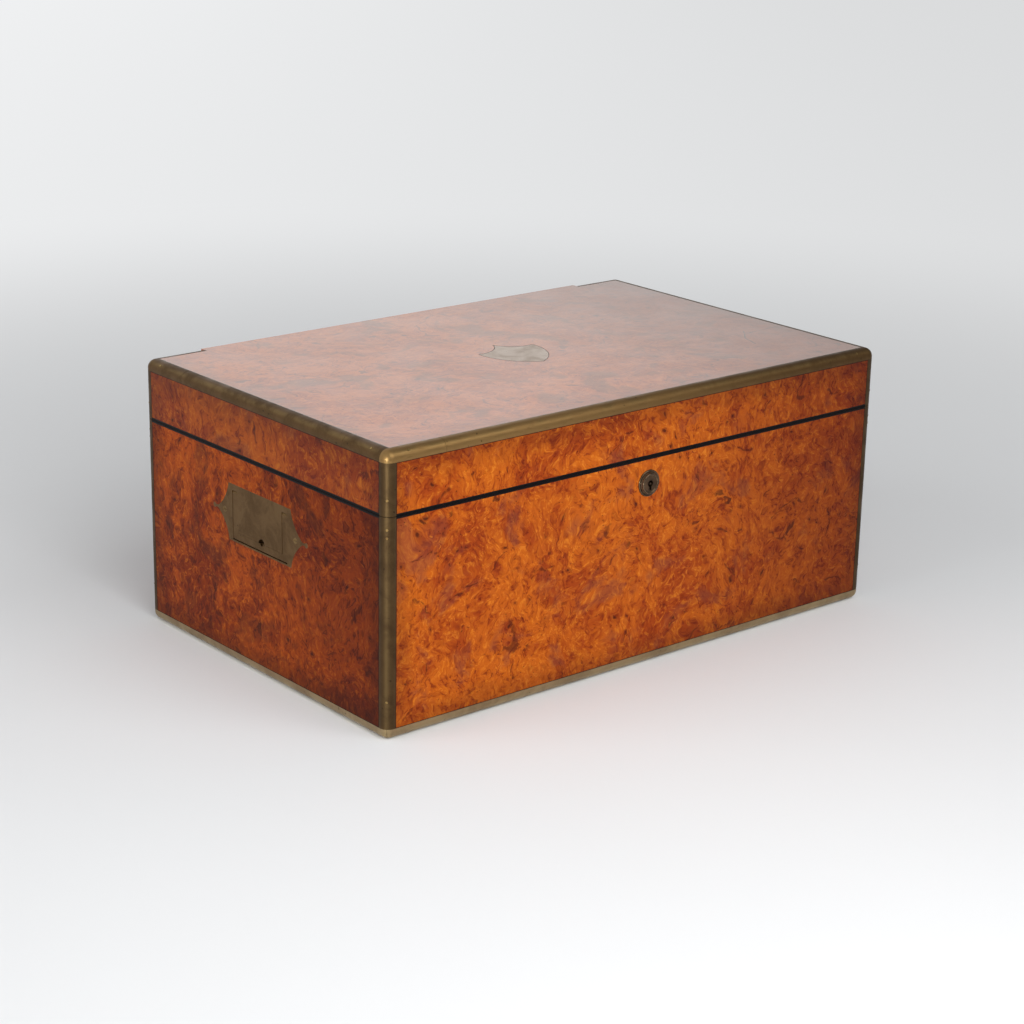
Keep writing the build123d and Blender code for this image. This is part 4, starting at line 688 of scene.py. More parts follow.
# --- Operators -------------------------------------------------------------------------------
class DRESSING_OT_stage(bpy.types.Operator):
    """Floor, background, three soft lamps, a small flash and the camera"""

    bl_idname = "dressing.stage"
    bl_label = "Stage"

    floor_radii = (0.0, 0.5, 2.0, 8.0, 30.0)
    floor_drop = 0.0002  # below the feet of the box, so that the two never fight
    aim_height = 0.08
    camera_place = (-1.0525, -1.2498, 0.6123)
    camera_lens_mm = 84.55
    camera_turn = (-40.05, 18.276, 1.115)  # round the box, above it, and rolled, in degrees

    def execute(self, context):
        settings = context.scene.dressing_stage
        scene = context.scene
        scene.view_settings.view_transform = "Standard"
        self.floor(settings)
        self.background(scene, settings)
        self.lamp("key_lamp", (0.5, -2.3, 2.1), 2.6, settings.key_power)
        near = self.lamp("near_lamp", (-0.50, -1.10, 0.66), 0.8, settings.near_power)
        fill = self.lamp("fill_lamp", (-2.0, 0.4, 1.0), 2.0, settings.fill_power)
        for low_lamp in (near, fill):
            low_lamp.visible_glossy = False  # their discs would show as white patches in the polish
        flash = self.lamp("flash", (-1.60, -0.93, 0.24), 0.06, settings.flash_power)
        flash.visible_diffuse = False  # all that it adds is a glint on rounded brass
        self.camera(scene)
        return {"FINISHED"}

    def floor(self, settings):
        """Rings round the middle, from a point out to a disc past the horizon of any view."""
        rings = np.array(self.floor_radii)[:, None]
        turn = np.linspace(0, 2 * math.pi, 97)[:-1]
        points = np.stack([rings * np.cos(turn), rings * np.sin(turn), 0 * rings * turn], -1)
        points[..., 2] -= self.floor_drop
        piece("studio_floor", [grid(points, around=True)], floor_finish(settings.paper))

    def background(self, scene, settings):
        """The paper's tone: even to the camera, dimmer at the front right in gloss and through
        glass, and cut down to the dome's share where it lights matt surfaces.
        """
        world = bpy.data.worlds.new("studio")
        world.use_nodes = True
        scene.world = world
        w = Tree(world.node_tree)
        lit = w.tree.nodes["Background"]
        w.feed(lit.inputs["Color"], settings.paper)
        w.feed(lit.inputs["Strength"], settings.dome)
        across = w.vector("DOT_PRODUCT", w.node("TexCoord").outputs["Generated"], (1.0, -1.0, 0.0))
        to_camera = w.node("LightPath").outputs["Is Camera Ray"]
        even = w.most(w.step(across, -0.15, 0.30, 1.0, 0.35), to_camera)
        w.end("World Output", w.seen(), lit, w.node("Background", (settings.paper, even)))

    def lamp(self, name, place, width, watts):
        data = bpy.data.lights.new(name, "AREA")
        data.shape = "DISK"
        data.size = width
        data.energy = watts
        lamp = bpy.data.objects.new(name, data)
        lamp.location = place
        aim = Vector((0, 0, self.aim_height)) - Vector(place)
        lamp.rotation_euler = aim.to_track_quat("-Z", "Y").to_euler()
        bpy.context.scene.collection.objects.link(lamp)
        return lamp

    def camera(self, scene):
        turn, rise, roll = [math.radians(angle) for angle in self.camera_turn]
        data = bpy.data.cameras.new("camera")
        data.lens = self.camera_lens_mm
        data.clip_end = 100.0
        camera = bpy.data.objects.new("camera", data)
        camera.matrix_world = (
            Matrix.Translation(self.camera_place)
            @ Matrix.Rotation(turn, 4, "Z")
            @ Matrix.Rotation(math.pi / 2 - rise, 4, "X")
            @ Matrix.Rotation(roll, 4, "Z")
        )
        scene.collection.objects.link(camera)
        scene.camera = camera


class DRESSING_OT_veneers(bpy.types.Operator):
    """Burr veneer on every face, each leaf cut from its own part of the burr"""

    bl_idname = "dressing.veneers"
    bl_label = "Burr veneers"

    scratches = (
        ((0.1755, -0.0485, top), (0.1618, -0.0629, top)),
        ((0.1618, -0.0629, top), (0.1561, -0.0789, top)),
        ((0.1755, -0.0540, top), (0.2070, -0.0510, top)),
    )

    def shine(self, coat, coat_ior, coat_roughness=0.09, specular=0.03, haze=0.0):
        """Sockets of the polish; haze is a bloom of fine scratches."""
        sockets = {"Coat_Weight": coat, "Coat_IOR": coat_ior, "Coat_Roughness": coat_roughness}
        return sockets | {"Specular_IOR_Level": specular, "Sheen_Weight": haze}

    def execute(self, context):
        settings = context.scene.dressing_veneer
        # each tone's painted shade: how strong it is, and the way along which it deepens
        front = {
            "mid": settings.mid, "deep": settings.deep, "vein": (104, 28, 3),
            "gold": (208, 122, 30), "murk": (108, 52, 38), "murk_share": 0.5,
            "eye": (56, 18, 5), "dirt": 0.35, "painted_shade": 0.75, "painted_shade_way": (1.0, 0.0, 0.0),
            "scratches": (), "shine": self.shine(0.7, 1.2),
        }  # fmt: skip
        # the ends' colours are darker than the front's: partly their own tone, partly painted shade
        # for the less light that falls on the ends
        end = front | {
            "mid": (154, 65, 9), "deep": (113, 39, 5), "vein": (70, 18, 3),
            "gold": (192, 102, 22), "murk": (70, 30, 14), "dirt": 0.5,
            "painted_shade": 0.66, "painted_shade_way": (0.0, -1.4, 0.5), "shine": self.shine(0.55, 1.15),
        }  # fmt: skip
        lid_top = front | {
            "mid": (182, 92, 28), "deep": (158, 72, 20), "vein": (124, 48, 14),
            "gold": (198, 112, 38), "murk": (104, 56, 30), "murk_share": 0.62,
            "eye": (76, 34, 16), "painted_shade": 0.8, "scratches": self.scratches,
            "shine": self.shine(1.0, 1.68, 0.16, 0.5, 0.36),
        }  # fmt: skip
        lean, flat = math.radians(12), math.radians(90)
        front_cut, right_cut = (0.31, 0.0, 0.12), (2.9, 1.2, 0.5)
        leaves = (
            ("burr_front", (0, lean, 0), front_cut, front, "case", "case_front_veneer"),
            ("burr_lid", (0, lean, 0), front_cut, front, "lid", "lid_side_veneers"),
            ("burr_back", (0, -lean, 0), (1.7, 0.4, 0.9), front, "case", "case_back_veneer"),
            ("burr_left", (lean, 0, 0), (0.9, 0.2, 0.5), end, "case", "case_left_veneer"),
            ("burr_right", (-lean, 0, 0), right_cut, end, "case", "case_right_veneer"),
            ("burr_drawer", (-lean, 0, 0), right_cut, end, "case", "drawer_veneer"),
            ("burr_top", (0, flat, 0), (0.4, 0.7, 0.2), lid_top, "top", "lid_top_veneer"),
        )
        for *cut, node in leaves:
            dress(burr_veneer(*cut), node)
        return {"FINISHED"}


class DRESSING_OT_metalwork(bpy.types.Operator):
    """Aged brass binding, handles, hinges, pins and screws, and the ebony lippings"""

    bl_idname = "dressing.metalwork"
    bl_label = "Brass and ebony"

    # clean, tarnished and spotted colour, dullness, share of bright edges, and a colour for the
    # front's left, partly rubbing and partly painted highlight
    brasses = {
        "aged_brass": ((84, 64, 40), (72, 54, 33), (42, 31, 20), 0.46, 0.15),
        "handle_brass": ((110, 83, 49), (93, 69, 41), (42, 31, 20), 0.50, 0.3),
        "bright_brass": ((206, 176, 112), (172, 142, 84), (96, 72, 40), 0.26, 0.4),
        "turned_bronze": ((100, 80, 63), (72, 57, 45), (34, 26, 20), 0.28, 0.25),
        "rubbed_brass": ((98, 72, 42), (87, 64, 36), (42, 31, 20), 0.44, 0.3, (144, 112, 68)),
        # the bottom binding's brass is lighter and greyer than the rest: a painted reflection of
        # the pale floor beside it
        "foot_brass_painted_reflection": ((160, 139, 104), (142, 121, 91), (80, 66, 48), 0.42, 0.3),
        "pin_brass": ((140, 112, 66), (104, 80, 46), (50, 36, 22), 0.36, 0.6),
        "barrel_bronze": ((96, 74, 54), (72, 54, 40), (40, 30, 23), 0.34, 0.3),
        "shield_plate": ((212, 194, 178), (194, 176, 160), (140, 124, 108), 0.36, 0.2),
    }
    nodes = {
        "aged_brass": "case_corner_posts lid_corner_posts",
        "handle_brass": "handle_left_plate handle_right_plate handle_left_bail "
        "handle_right_bail drawer_pull_plate drawer_pull_bail",
        "bright_brass": "hinge_case_leaves hinge_lid_leaves lock_case lock_link_plate "
        "lock_bolt drawer_pin",
        "turned_bronze": "lock_nose",
        "rubbed_brass": "lid_corner_caps lid_edge_strips",
        "foot_brass_painted_reflection": "bottom_binding",
        "pin_brass": "case_pins_and_screws lid_pins_and_screws pivot_pins "
        "drawer_pull_pins_and_screws",
        "barrel_bronze": "lock_barrel",
        "shield_plate": "lid_shield",
    }

    def execute(self, context):
        for name, tones in self.brasses.items():
            dress(brass_finish(name, *tones), *self.nodes[name].split())
        dress(ebony_finish(), "case_rim_lipping", "lid_rim_lipping")
        return {"FINISHED"}


class DRESSING_OT_woodwork(bpy.types.Operator):
    """Mahogany boards, rack, tray and drawer"""

    bl_idname = "dressing.woodwork"
    bl_label = "Mahogany"

    # where each finish has its grain across, and its nodes
    woods = {
        "mahogany": (
            (),
            "case_front_board case_back_board case_bottom_board lid_front_board lid_back_board "
            "lid_top_board deck_board drawer_guides rack_posts_and_ledges",
        ),
        "mahogany_cross": (((-1.0, 1.0, 1.0),), "case_left_board case_right_board lid_end_boards"),
        "mahogany_rack": (((-1.0, 0.0016, 1.0), (0.1377, 0.1409, 1.0)), "rack_partitions"),
        "mahogany_tray": (((0.050, 0.0562, 0.0598), (0.1315, 0.1380, 0.0598)), "tray_box"),
        "mahogany_drawer": (
            (
                (0.0245, 0.0293, 0.0628),
                (0.0755, 0.0830, 0.0628),
                (0.1160, 0.1210, 0.0628),
                (0.2105, 0.22, 1.0),
            ),
            "drawer_box",
        ),
    }

    def execute(self, context):
        for name, (crosswise, nodes) in self.woods.items():
            dress(mahogany_finish(name, crosswise), *nodes.split())
        return {"FINISHED"}


class DRESSING_OT_lock_nose(bpy.types.Operator):
    """Turned nose of the lock, with its two rings and a rounded lip"""

    bl_idname = "dressing.lock_nose"
    bl_label = "Lock nose"

    lock_z = 0.130
    # radius and distance out from the front, in millimetres
    profile_mm = (
        (5.45, -11.0), (7.6, -11.0), (7.6, -0.3), (9.1, -0.3), (9.25, 0.0), (9.25, 0.35),
        (9.17, 0.62), (8.98, 0.85), (8.70, 0.97), (8.42, 0.93), (8.22, 0.78), (8.12, 0.66),
        (7.95, 0.66), (7.85, 0.80), (7.80, 1.10), (7.66, 1.36), (7.42, 1.48), (7.22, 1.46),
        (7.16, 1.60), (7.10, 2.05), (6.98, 2.33), (6.76, 2.52), (6.48, 2.60), (6.20, 2.54),
        (5.98, 2.38), (5.86, 2.16), (5.62, 2.02), (5.45, 1.96),
    )  # fmt: skip

    def execute(self, context):
        profile = np.array(self.profile_mm) * mm
        points = turned(profile, (0, -half_depth, self.lock_z), (0, -1, 0), 96)
        bronze = bpy.data.materials["turned_bronze"]
        shell = grid(points, around=True, over=True)
        piece("turned_nose", [shell], bronze, "case", 35.0, ["lock_nose"])
        return {"FINISHED"}


class DRESSING_OT_linings(bpy.types.Operator):
    """Velvet on the walls of the case and the lid, in the wells and the drawer, and overhead"""

    bl_idname = "dressing.linings"
    bl_label = "Velvet linings"

    case_zs = (deck_top, 0.1438)
    lid_zs = (0.1522, 0.1809)
    ceiling_zs = (0.1762, 0.181)
    drawer_bays = ((-0.076, 0.02696), (0.02696, 0.11848), (0.11848, 0.210))
    drawer_ys = (-0.0619, 0.0619)
    drawer_zs = (0.0134, 0.0146)
    well_zs = (deck_top, well_floor)
    post_round = 0.0086  # clears the posts of the rack
    well_gap, ceiling_gap, bay_gap = 0.0004, 0.0006, 0.0024  # from each pad to the walls round it

    def execute(self, context):
        velvet = velvet_finish()
        self.walls("case_wall_velvet", self.case_zs, velvet, "case", ["case_left_board"])
        self.walls("lid_wall_velvet", self.lid_zs, velvet, "lid", ["lid_end_boards"])
        edge = 0.0005
        wells = [*corner_wells, *jar_wells[-1], *jar_wells[1], *box_wells, brush_well, centre_well]
        well_pads = [
            pad(*[inset(span, self.well_gap) for span in well], self.well_zs, self.post_round, edge)
            for well in wells
        ]
        spans = [inset((-lined, lined), self.ceiling_gap) for lined in (lined_x, lined_y)]
        ceiling = pad(*spans, self.ceiling_zs, 0.004, 0.002)
        bay_pads = [
            pad(inset(bay, self.bay_gap), self.drawer_ys, self.drawer_zs, 0.0015, edge)
            for bay in self.drawer_bays
        ]
        for name, pads, body, lining, fill in (
            ("well_velvet", well_pads, "case", "case_lining", 0.9),
            ("lid_velvet_pad", [ceiling], "lid", "lid_lining", 0.8),
            ("drawer_velvet", bay_pads, "drawer", "drawer_lining", 0.9),
        ):
            piece(name, pads, velvet, body, 50.0, [lining])
        return {"FINISHED"}

    def walls(self, name, zs, velvet, body, boards):
        shape = band((inner_x, lined_x), (inner_y, lined_y), zs, 0.0012)
        wall = piece(name, [shape], velvet, body, 60.0)


class DRESSING_OT_tray_cushions(bpy.types.Operator):
    """Ring rolls in the tray's middle bay, blown up under stitched velvet, and two thin pads"""

    bl_idname = "dressing.tray_cushions"
    bl_label = "Tray cushions"

    floor_z, thin_z = 0.098, 0.100
    side_bays = ((-0.1315, -0.0561), (0.0561, 0.1315))
    half_depth_y = 0.0595
    middle_half = 0.0511
    rolls = 8
    cells = (64, 120)
    seam_z = 0.1022
    blank_height = 0.0062  # of a roll above its seams, before it is blown up
    end_share, side_share = 0.10, 0.02  # of the half sizes, in which the ends and sides fall
    held_share = 0.05  # lower than this share of its height, the cover is held
    swell = 0.0032  # the most that the cover may move

    def execute(self, context):
        velvet = bpy.data.materials["ruby_velvet"]
        ys, zs = (-self.half_depth_y, self.half_depth_y), (self.floor_z, self.thin_z)
        shapes = [pad(bay, ys, zs, 0.006, 0.0009) for bay in self.side_bays]
        thin = piece("tray_velvet", shapes, velvet, "tray", 50.0, ["tray_lining"])
        shape, seams = self.blank()
        rolls = piece("ring_rolls", [shape], velvet, "tray", 80.0, ["tray_lining"])
        blow_up(rolls, seams, self.swell)
        return {"FINISHED"}

    def blank(self):
        """Half-round rolls side by side: height is the root of the sine of the way across a roll.

        Each roll's ends fall to the floor as a quarter ellipse. The seams and the foot are held.
        """
        nx, ny = self.cells
        u, v = np.meshgrid(np.linspace(-1, 1, nx + 1), np.linspace(-1, 1, ny + 1))
        across = np.abs(np.sin((v + 1) / 2 * self.rolls * math.pi))
        end = np.clip((1 - np.abs(u)) / self.end_share, 0, 1)
        fall = np.sqrt(1 - (1 - end) ** 2)
        side = np.clip((1 - np.abs(v)) / self.side_share, 0, 1)
        foot = (self.seam_z - self.floor_z) * np.sqrt(side)
        z = self.floor_z + (foot + self.blank_height * np.sqrt(across)) * fall
        points = np.stack([self.middle_half * u, self.half_depth_y * v, z], -1)
        points, faces = grid(points[::-1])
        held = ((across < self.held_share) | (fall < self.held_share))[::-1].ravel()
        number = np.arange(len(points)).reshape(ny + 1, nx + 1)
        rim = [number[0, :], number[1:, -1], number[-1, -2::-1], number[-2:0:-1, 0]]
        return (points, [*faces, np.concatenate(rim).tolist()]), held


def blow_up(cushion, held, reach, pressure=4.0, frames=20):
    """Fills a stitched cover by cloth simulation, its seams held, and keeps the shape it takes.

    No point moves further than reach.
    """
    mesh = cushion.data
    seams = cushion.vertex_groups.new(name="seams")
    seams.add(np.flatnonzero(held).tolist(), 1.0, "REPLACE")
    cloth = cushion.modifiers.new("cover", "CLOTH")
    cloth.settings.vertex_group_mass = "seams"
    cloth.settings.use_pressure = True
    cloth.settings.uniform_pressure_force = pressure
    cloth.settings.effector_weights.gravity = 0
    cloth.settings.quality = 6
    cloth.point_cache.frame_start, cloth.point_cache.frame_end = 1, frames
    before = np.empty(len(mesh.vertices) * 3)
    mesh.vertices.foreach_get("co", before)
    scene = bpy.context.scene
    for number in range(1, frames + 1):
        scene.frame_set(number)
    filled = cushion.evaluated_get(bpy.context.evaluated_depsgraph_get()).data
    after = np.empty_like(before)
    filled.vertices.foreach_get("co", after)
    move = (after - before).reshape(-1, 3)
    length = np.linalg.norm(move, axis=1, keepdims=True)
    move *= np.minimum(1, reach / np.maximum(length, 1e-9))
    cushion.modifiers.remove(cloth)
    scene.frame_set(1)
    mesh.vertices.foreach_set("co", (before.reshape(-1, 3) + move).ravel())
    mesh.update()


class DRESSING_OT_mirror(bpy.types.Operator):
    """Leather-covered frame with gilt lines, its silvered glass and its stitched pull"""

    bl_idname = "dressing.mirror"
    bl_label = "Mirror"

    half_x = 0.2038
    front_y, back_y = -0.120, 0.1193
    face_z = 0.1642
    opening_inset = (0.052, 0.030)
    # distance in from the outer edge, or out from the opening, and half width of each line
    edge_lines = ((0.0055, 0.00035), (0.0085, 0.0008), (0.0115, 0.00035))
    opening_lines = ((0.0045, 0.0006), (0.0070, 0.00030))
    # distance out from the opening, corner radius and height above the face, in millimetres
    bead_mm = (
        (0, 0.5, 4.0), (0, 0.5, 0.6), (0.2, 0.8, 0.25), (0.8, 1.0, 0), (1.8, 1.5, 0.05),
        (2.6, 2.0, 0.6), (3.2, 2.0, 0.75),
    )  # fmt: skip
    # distance in from the outer edge and height above the face, in millimetres
    rim_mm = (
        (3.2, 0.75), (2.6, 0.6), (2.0, 0.1), (1.2, 0), (0.4, 0.3), (0, 1.2), (0, 6.8),
        (0.4, 7.7), (1.2, 8.0),
    )  # fmt: skip
    rim_round, rim_draw = 4.0, 3.0  # corner radius, and the most that it draws in by
    tab_xs = (-0.011, 0.011)
    tab_ys = (-0.1235, -0.108)
    tab_zs = (0.1627, 0.1642)
    stitch_rows, stitch_count = (-0.1095, -0.1145), 9
    thread_radius, stitch_half = 0.00016, 0.0007

    def execute(self, context):
        middle, outer = middle_and_halves((-self.half_x, self.half_x), (self.front_y, self.back_y))
        opening = np.subtract(outer, self.opening_inset)
        lines = [(*np.subtract(outer, inwards), wide) for inwards, wide in self.edge_lines]
        lines += [(*(opening + outwards), wide) for outwards, wide in self.opening_lines]
        leather = leather_finish(middle[1], lines)
        shapes = [self.surround(middle, outer, opening)]
        piece("mirror_surround", shapes, leather, "mirror", 35.0, ["mirror_frame"])
        tab = pad(self.tab_xs, self.tab_ys, self.tab_zs, 0.0044, 0.0006, side=8)
        shapes = [tab, *self.stitches()]
        pull = piece("mirror_pull", shapes, leather, "mirror", 50.0, ["mirror_tab"])
        dress(looking_glass_finish(), "mirror_glass")
        return {"FINISHED"}

    def surround(self, middle, outer, opening):
        """Rectangles from the rebate's floor out over the bead, the field and the lip, and back."""
        loops = []
        for out, radius, height in np.array(self.bead_mm) * mm:
            around, _ = plan(*(opening + out), radius, arc=5, side=1)
            loops.append(raised(around + middle, self.face_z + height))
        for in_mm, height_mm in self.rim_mm:
            radius = (self.rim_round - min(in_mm, self.rim_draw)) * mm
            around, _ = plan(*np.subtract(outer, in_mm * mm), radius, arc=5, side=1)
            loops.append(raised(around + middle, self.face_z + height_mm * mm))
        return loft(loops)

    def stitches(self):
        """Short raised threads along the pull's seat, each a spindle along X."""
        share = np.linspace(0, math.pi, 6)
        radius = np.maximum(self.thread_radius * np.sin(share), 1e-5)
        profile = np.stack([radius, -self.stitch_half * np.cos(share)], -1)
        xs = np.linspace(*inset(self.tab_xs, 0.0025), self.stitch_count)
        return [
            loft(turned(profile, (x, y, self.tab_zs[0]), (1, 0, 0), 6))
            for y in self.stitch_rows
            for x in xs
        ]


class DRESSING_OT_glass(bpy.types.Operator):
    """Cut-glass jars, long boxes and scent bottles, with fluted sides"""

    bl_idname = "dressing.glass"
    bl_label = "Cut glass"

    flute_width, flute_depth = 0.0078, 0.0009
    # each row is an inset, a share of the flutes' depth, and a height, in millimetres:
    # above the well's floor at the foot and inside, and above the rim or the shoulder at the top
    foot_mm = ((2.0, 0, 0), (0.6, 0, 0.2), (0, 0.3, 1.2), (0, 1, 6.0))
    rim_mm = (
        (0, 1, -8.0), (0, 0.5, -5.0), (0, 0, -3.5), (0, 0, -0.6), (0.6, 0, 0), (3.4, 0, 0),
        (4.0, 0, -0.6),
    )  # fmt: skip
    hollow_mm = ((4.0, 0, 8.0), (4.9, 0, 5.9), (7.0, 0, 5.0))
    shoulder_mm = ((0, 1, -10.0), (0, 0.4, -6.0), (0, 0, -4.0), (0.6, 0, -3.2))
    under_shoulder_mm = ((8.0, 0, -6.0), (4.0, 0, -10.0))
    inside_foot_mm = ((4.0, 0, 8.0), (7.0, 0, 5.0))
    # radius and height above the shoulder, in millimetres
    neck_mm = (
        (16.5, -0.1), (12.5, 0), (11.0, 1.2), (11.0, 7.4), (10.4, 8.0), (6.9, 8.0), (6.5, 7.6),
        (6.5, -5.0),
    )  # fmt: skip
    ray_count, ray_depth = 12, 0.0009
    shoulder_radius, shoulder_foot, shoulder_rise = 0.0165, -0.0032, 0.0030

    def execute(self, context):
        clear = cut_glass_finish()
        for name, wells, shape in (
            ("jars_left", jar_wells[-1], partial(self.vessel, rim=jar_rim)),
            ("jars_right", jar_wells[1], partial(self.vessel, rim=jar_rim)),
            ("long_boxes", box_wells, partial(self.vessel, rim=box_rim)),
            ("bottles", corner_wells, self.bottle),
        ):
            shapes = [shape(*well) for well in wells]
            piece("cut_" + name, shapes, clear, "case", 30.0, ["glass_" + name])
        return {"FINISHED"}

    def outline(self, halves, inwards, flute):
        """Cut-off square whose long sides are hollowed by flutes: depth times the sine's size."""
        around, on_x_side, wave = waved_plan(halves, self.flute_width, 48)
        outward = np.where(on_x_side[:, None], [0.0, 1.0], [1.0, 0.0]) * np.sign(around)
        return around * (1 - inwards / np.array(halves)) - outward * (flute * wave)[:, None]

    def walls(self, middle, halves, rows_mm, base):
        """A loop of the outline for each row, at its height above the base."""
        loops = []
        for inwards, share, up in rows_mm:
            around = self.outline(halves, inwards * mm, self.flute_depth * share)
            loops.append(raised(around + middle, base + up * mm))
        return loops

    def vessel(self, xs, ys, rim):
        """A jar or a box: up outside from the foot, over the rim and down to the hollow's floor."""
        wall = middle_and_halves(xs, ys, glass_margin)
        outside = self.walls(*wall, self.foot_mm, well_floor) + self.walls(*wall, self.rim_mm, rim)
        return loft(outside + self.walls(*wall, self.hollow_mm, well_floor))

    def bottle(self, xs, ys):
        """Square bottle: the shoulder runs from its cut-off square to a ring round the neck."""
        middle, halves = wall = middle_and_halves(xs, ys, glass_margin)
        loops = self.walls(*wall, self.foot_mm, well_floor)
        loops += self.walls(*wall, self.shoulder_mm, bottle_shoulder)
        square = self.outline(halves, 0.0006, 0)
        angle = np.arctan2(square[:, 1], square[:, 0])
        ring = np.stack([np.cos(angle), np.sin(angle)], -1)
        rays = self.ray_depth * np.abs(np.sin(angle * self.ray_count))
        for share in (0.25, 0.5, 0.75, 1.0):
            around = square + share * (ring * self.shoulder_radius - square)
            height = bottle_shoulder + self.shoulder_foot + self.shoulder_rise * share**0.8
            loops.append(raised(around + middle, height - math.sin(math.pi * share) * rays))
        loops += [
            raised(ring * radius + middle, bottle_shoulder + up)
            for radius, up in np.array(self.neck_mm) * mm
        ]
        loops += self.walls(*wall, self.under_shoulder_mm, bottle_shoulder)
        return loft(loops + self.walls(*wall, self.inside_foot_mm, well_floor))


class DRESSING_OT_plate(bpy.types.Operator):
    """Silver-plated lids and caps with a gadrooned edge and an engine-turned middle"""

    bl_idname = "dressing.plate"
    bl_label = "Plated lids"

    bead, bead_depth = 0.0026, 0.00045
    # inset from the rim, share of the beads' depth and height above the foot, in millimetres
    rim_mm = (
        (5.5, 0, 5.2), (5.5, 0, -4.0), (4.3, 0, -4.0), (4.3, 0, 0),
        (0.30, 0, 0.0), (0.0, 0, 0.3), (0.0, 0, 4.6), (0.25, 0, 4.9), (0.35, 0.2, 5.1),
        (0.10, 1, 5.5), (0.0, 1, 6.0), (0.25, 1, 6.6), (0.85, 1, 7.05), (1.5, 0.7, 7.15),
        (2.0, 0.2, 6.9), (2.3, 0, 6.75), (2.9, 0, 6.75), (3.2, 0, 7.0), (3.9, 0, 7.3),
    )  # fmt: skip
    swell = 0.0007
    # radius and height above the foot, in millimetres
    cap_mm = (
        (0.2, 8.3), (11.3, 8.3), (11.3, 0), (15.7, 0), (16.0, 0.3), (16.0, 1.6), (15.5, 1.9),
        (15.5, 2.4), (15.8, 3.0), (15.8, 9.0), (15.5, 9.6), (15.5, 10.1), (16.0, 10.4),
        (16.0, 11.4), (15.6, 12.6), (14.6, 13.3), (13.6, 13.4), (13.1, 12.9), (12.6, 13.0),
        (11.6, 13.4), (8.0, 13.8), (4.0, 14.0), (0.2, 14.0),
    )  # fmt: skip
    ribbed = slice(8, 10)  # rows of the cap's profile
    rib_count, rib_share = 18, 0.030

    def execute(self, context):
        silver = plate_finish()
        covers = [(well, jar_rim, self.lid) for well in (*jar_wells[-1], *jar_wells[1])]
        covers += [(well, box_rim, self.lid) for well in box_wells]
        covers += [(well, bottle_shoulder, self.cap) for well in corner_wells]
        shapes, places = [], []
        for well, foot, shape in covers:
            middle, halves = middle_and_halves(*well, glass_margin)
            points, faces = shape(halves, foot)
            shapes.append((points + [*middle, 0], faces))
            places.append(points * [1, 1, 0])
        lids = piece("plated_lids", shapes, silver, "case", 30.0, ["plated_caps"])
        local = lids.data.attributes.new("lid_place", "FLOAT_VECTOR", "POINT")
        local.data.foreach_set("vector", np.concatenate(places).astype(np.float32).ravel())
        return {"FINISHED"}

    def lid(self, halves, foot):
        """A cut-off square lid: beaded rim, a hollow, and a middle that swells by a sine."""
        rows = [(inwards * mm, beads, up * mm) for inwards, beads, up in self.rim_mm]
        last, _, rim_height = rows[-1]
        for share in (0.12, 0.3, 0.5, 0.75, 0.96):
            height = rim_height + self.swell * math.sin(share * math.pi / 2)
            rows.append((last + share * (min(halves) - last), 0, height))
        around, _, wave = waved_plan(halves, self.bead, 100)
        loops = []
        for inwards, beads, height in rows:
            draw = self.bead_depth * beads * (1 - wave)
            cut = np.maximum(np.array(halves) - inwards - draw[:, None], tiny)
            loops.append(raised(around / halves * cut, foot + height - draw * 0.6))
        return loft(loops)

    def cap(self, halves, foot):
        """A round cap: ribbed sides, a rounded rim and a shallow domed top with one ring."""
        points = turned(np.array(self.cap_mm) * mm, (0, 0, foot), (0, 0, 1), 144)
        angle = np.arctan2(points[..., 1], points[..., 0])[self.ribbed]
        ribs = 1 - self.rib_share * np.abs(np.sin(angle * self.rib_count))
        points[self.ribbed, :, :2] *= ribs[..., None]
        return loft(points)


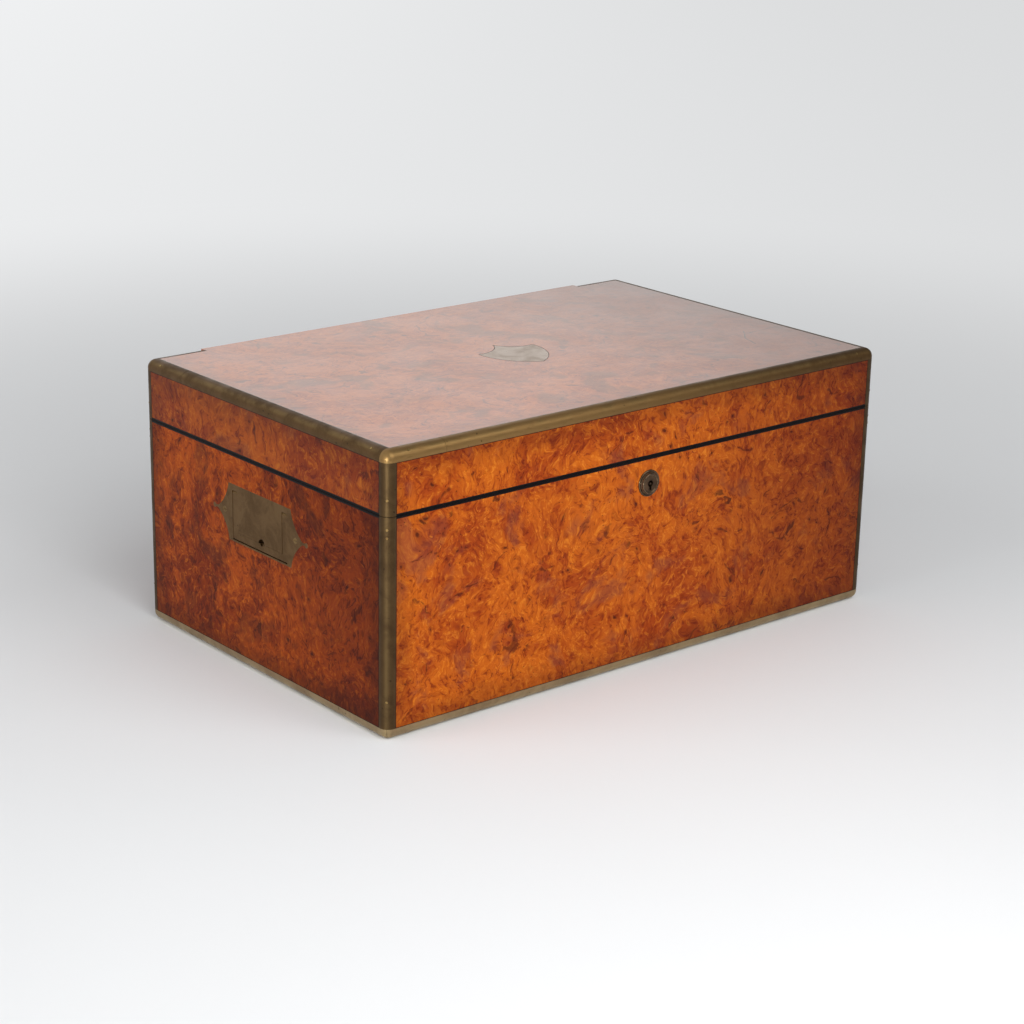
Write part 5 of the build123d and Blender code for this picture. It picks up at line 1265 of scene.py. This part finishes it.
class DRESSING_OT_shield_line(bpy.types.Operator):
    """Dark line of old glue and polish round the let-in shield"""

    bl_idname = "dressing.shield_line"
    bl_label = "Shield line"

    # three points of each arc down the right half, in millimetres
    arcs_mm = (
        ((0.0, 27.0), (11.0, 14.5), (24.5, 12.5)),
        ((24.5, 12.5), (20.5, -8.0), (0.0, -28.0)),
    )
    half_line, proud, sunk = 0.00022, 0.00003, 0.0002

    def execute(self, context):
        right = np.concatenate([arc_through(*np.array(arc) * mm, 25)[:-1] for arc in self.arcs_mm])
        left = right[:0:-1] * [-1, 1]
        path = np.concatenate([right, [np.array(self.arcs_mm[1][2]) * mm], left])
        ahead = np.roll(path, -1, axis=0) - np.roll(path, 1, axis=0)
        across = np.stack([ahead[:, 1], -ahead[:, 0]], -1)
        across /= np.linalg.norm(across, axis=1, keepdims=True)
        low, high = top - self.sunk, top + self.proud
        section = ((-1, low), (1, low), (1, high), (-1, high))
        loops = [raised(path + side * self.half_line * across, z) for side, z in section]
        line = grid(np.array(loops).transpose(1, 0, 2), around=True, over=True)
        f = Finish("shield_line")
        grime = f.noise(f.place, 0.004, detail=3.0)
        f.set(Base_Color=f.blend(grime, (40, 30, 22), (70, 56, 42)), Roughness=0.6)
        piece("shield_line", [line], f.material, "lid", 30.0)
        return {"FINISHED"}


class DRESSING_PT_panel(bpy.types.Panel):
    """Settings and steps of the dressing box"""

    bl_idname = "DRESSING_PT_panel"
    bl_label = "Dressing box"
    bl_space_type = "VIEW_3D"
    bl_region_type = "UI"
    bl_category = "Dressing box"

    def draw(self, context):
        for settings in (context.scene.dressing_stage, context.scene.dressing_veneer):
            for name in settings.__annotations__:
                self.layout.prop(settings, name)
        for step in steps:
            self.layout.operator(step.bl_idname)


steps = (
    DRESSING_OT_stage,
    DRESSING_OT_veneers,
    DRESSING_OT_metalwork,
    DRESSING_OT_woodwork,
    DRESSING_OT_shield_line,
    DRESSING_OT_lock_nose,
    DRESSING_OT_linings,
    DRESSING_OT_tray_cushions,
    DRESSING_OT_mirror,
    DRESSING_OT_glass,
    DRESSING_OT_plate,
)
classes = (StageSettings, VeneerSettings, *steps, DRESSING_PT_panel)


def register():
    for made in classes:
        bpy.utils.register_class(made)
    bpy.types.Scene.dressing_stage = bpy.props.PointerProperty(type=StageSettings)
    bpy.types.Scene.dressing_veneer = bpy.props.PointerProperty(type=VeneerSettings)


def unregister():
    del bpy.types.Scene.dressing_veneer
    del bpy.types.Scene.dressing_stage
    for made in reversed(classes):
        bpy.utils.unregister_class(made)


def main():
    register()
    bpy.ops.dressing.stage()
    bpy.ops.dressing.veneers()
    bpy.ops.dressing.metalwork()
    bpy.ops.dressing.woodwork()
    bpy.ops.dressing.shield_line()
    bpy.ops.dressing.lock_nose()
    bpy.ops.dressing.linings()
    bpy.ops.dressing.tray_cushions()
    bpy.ops.dressing.mirror()
    bpy.ops.dressing.glass()
    bpy.ops.dressing.plate()


if __name__ == "__main__":
    main()
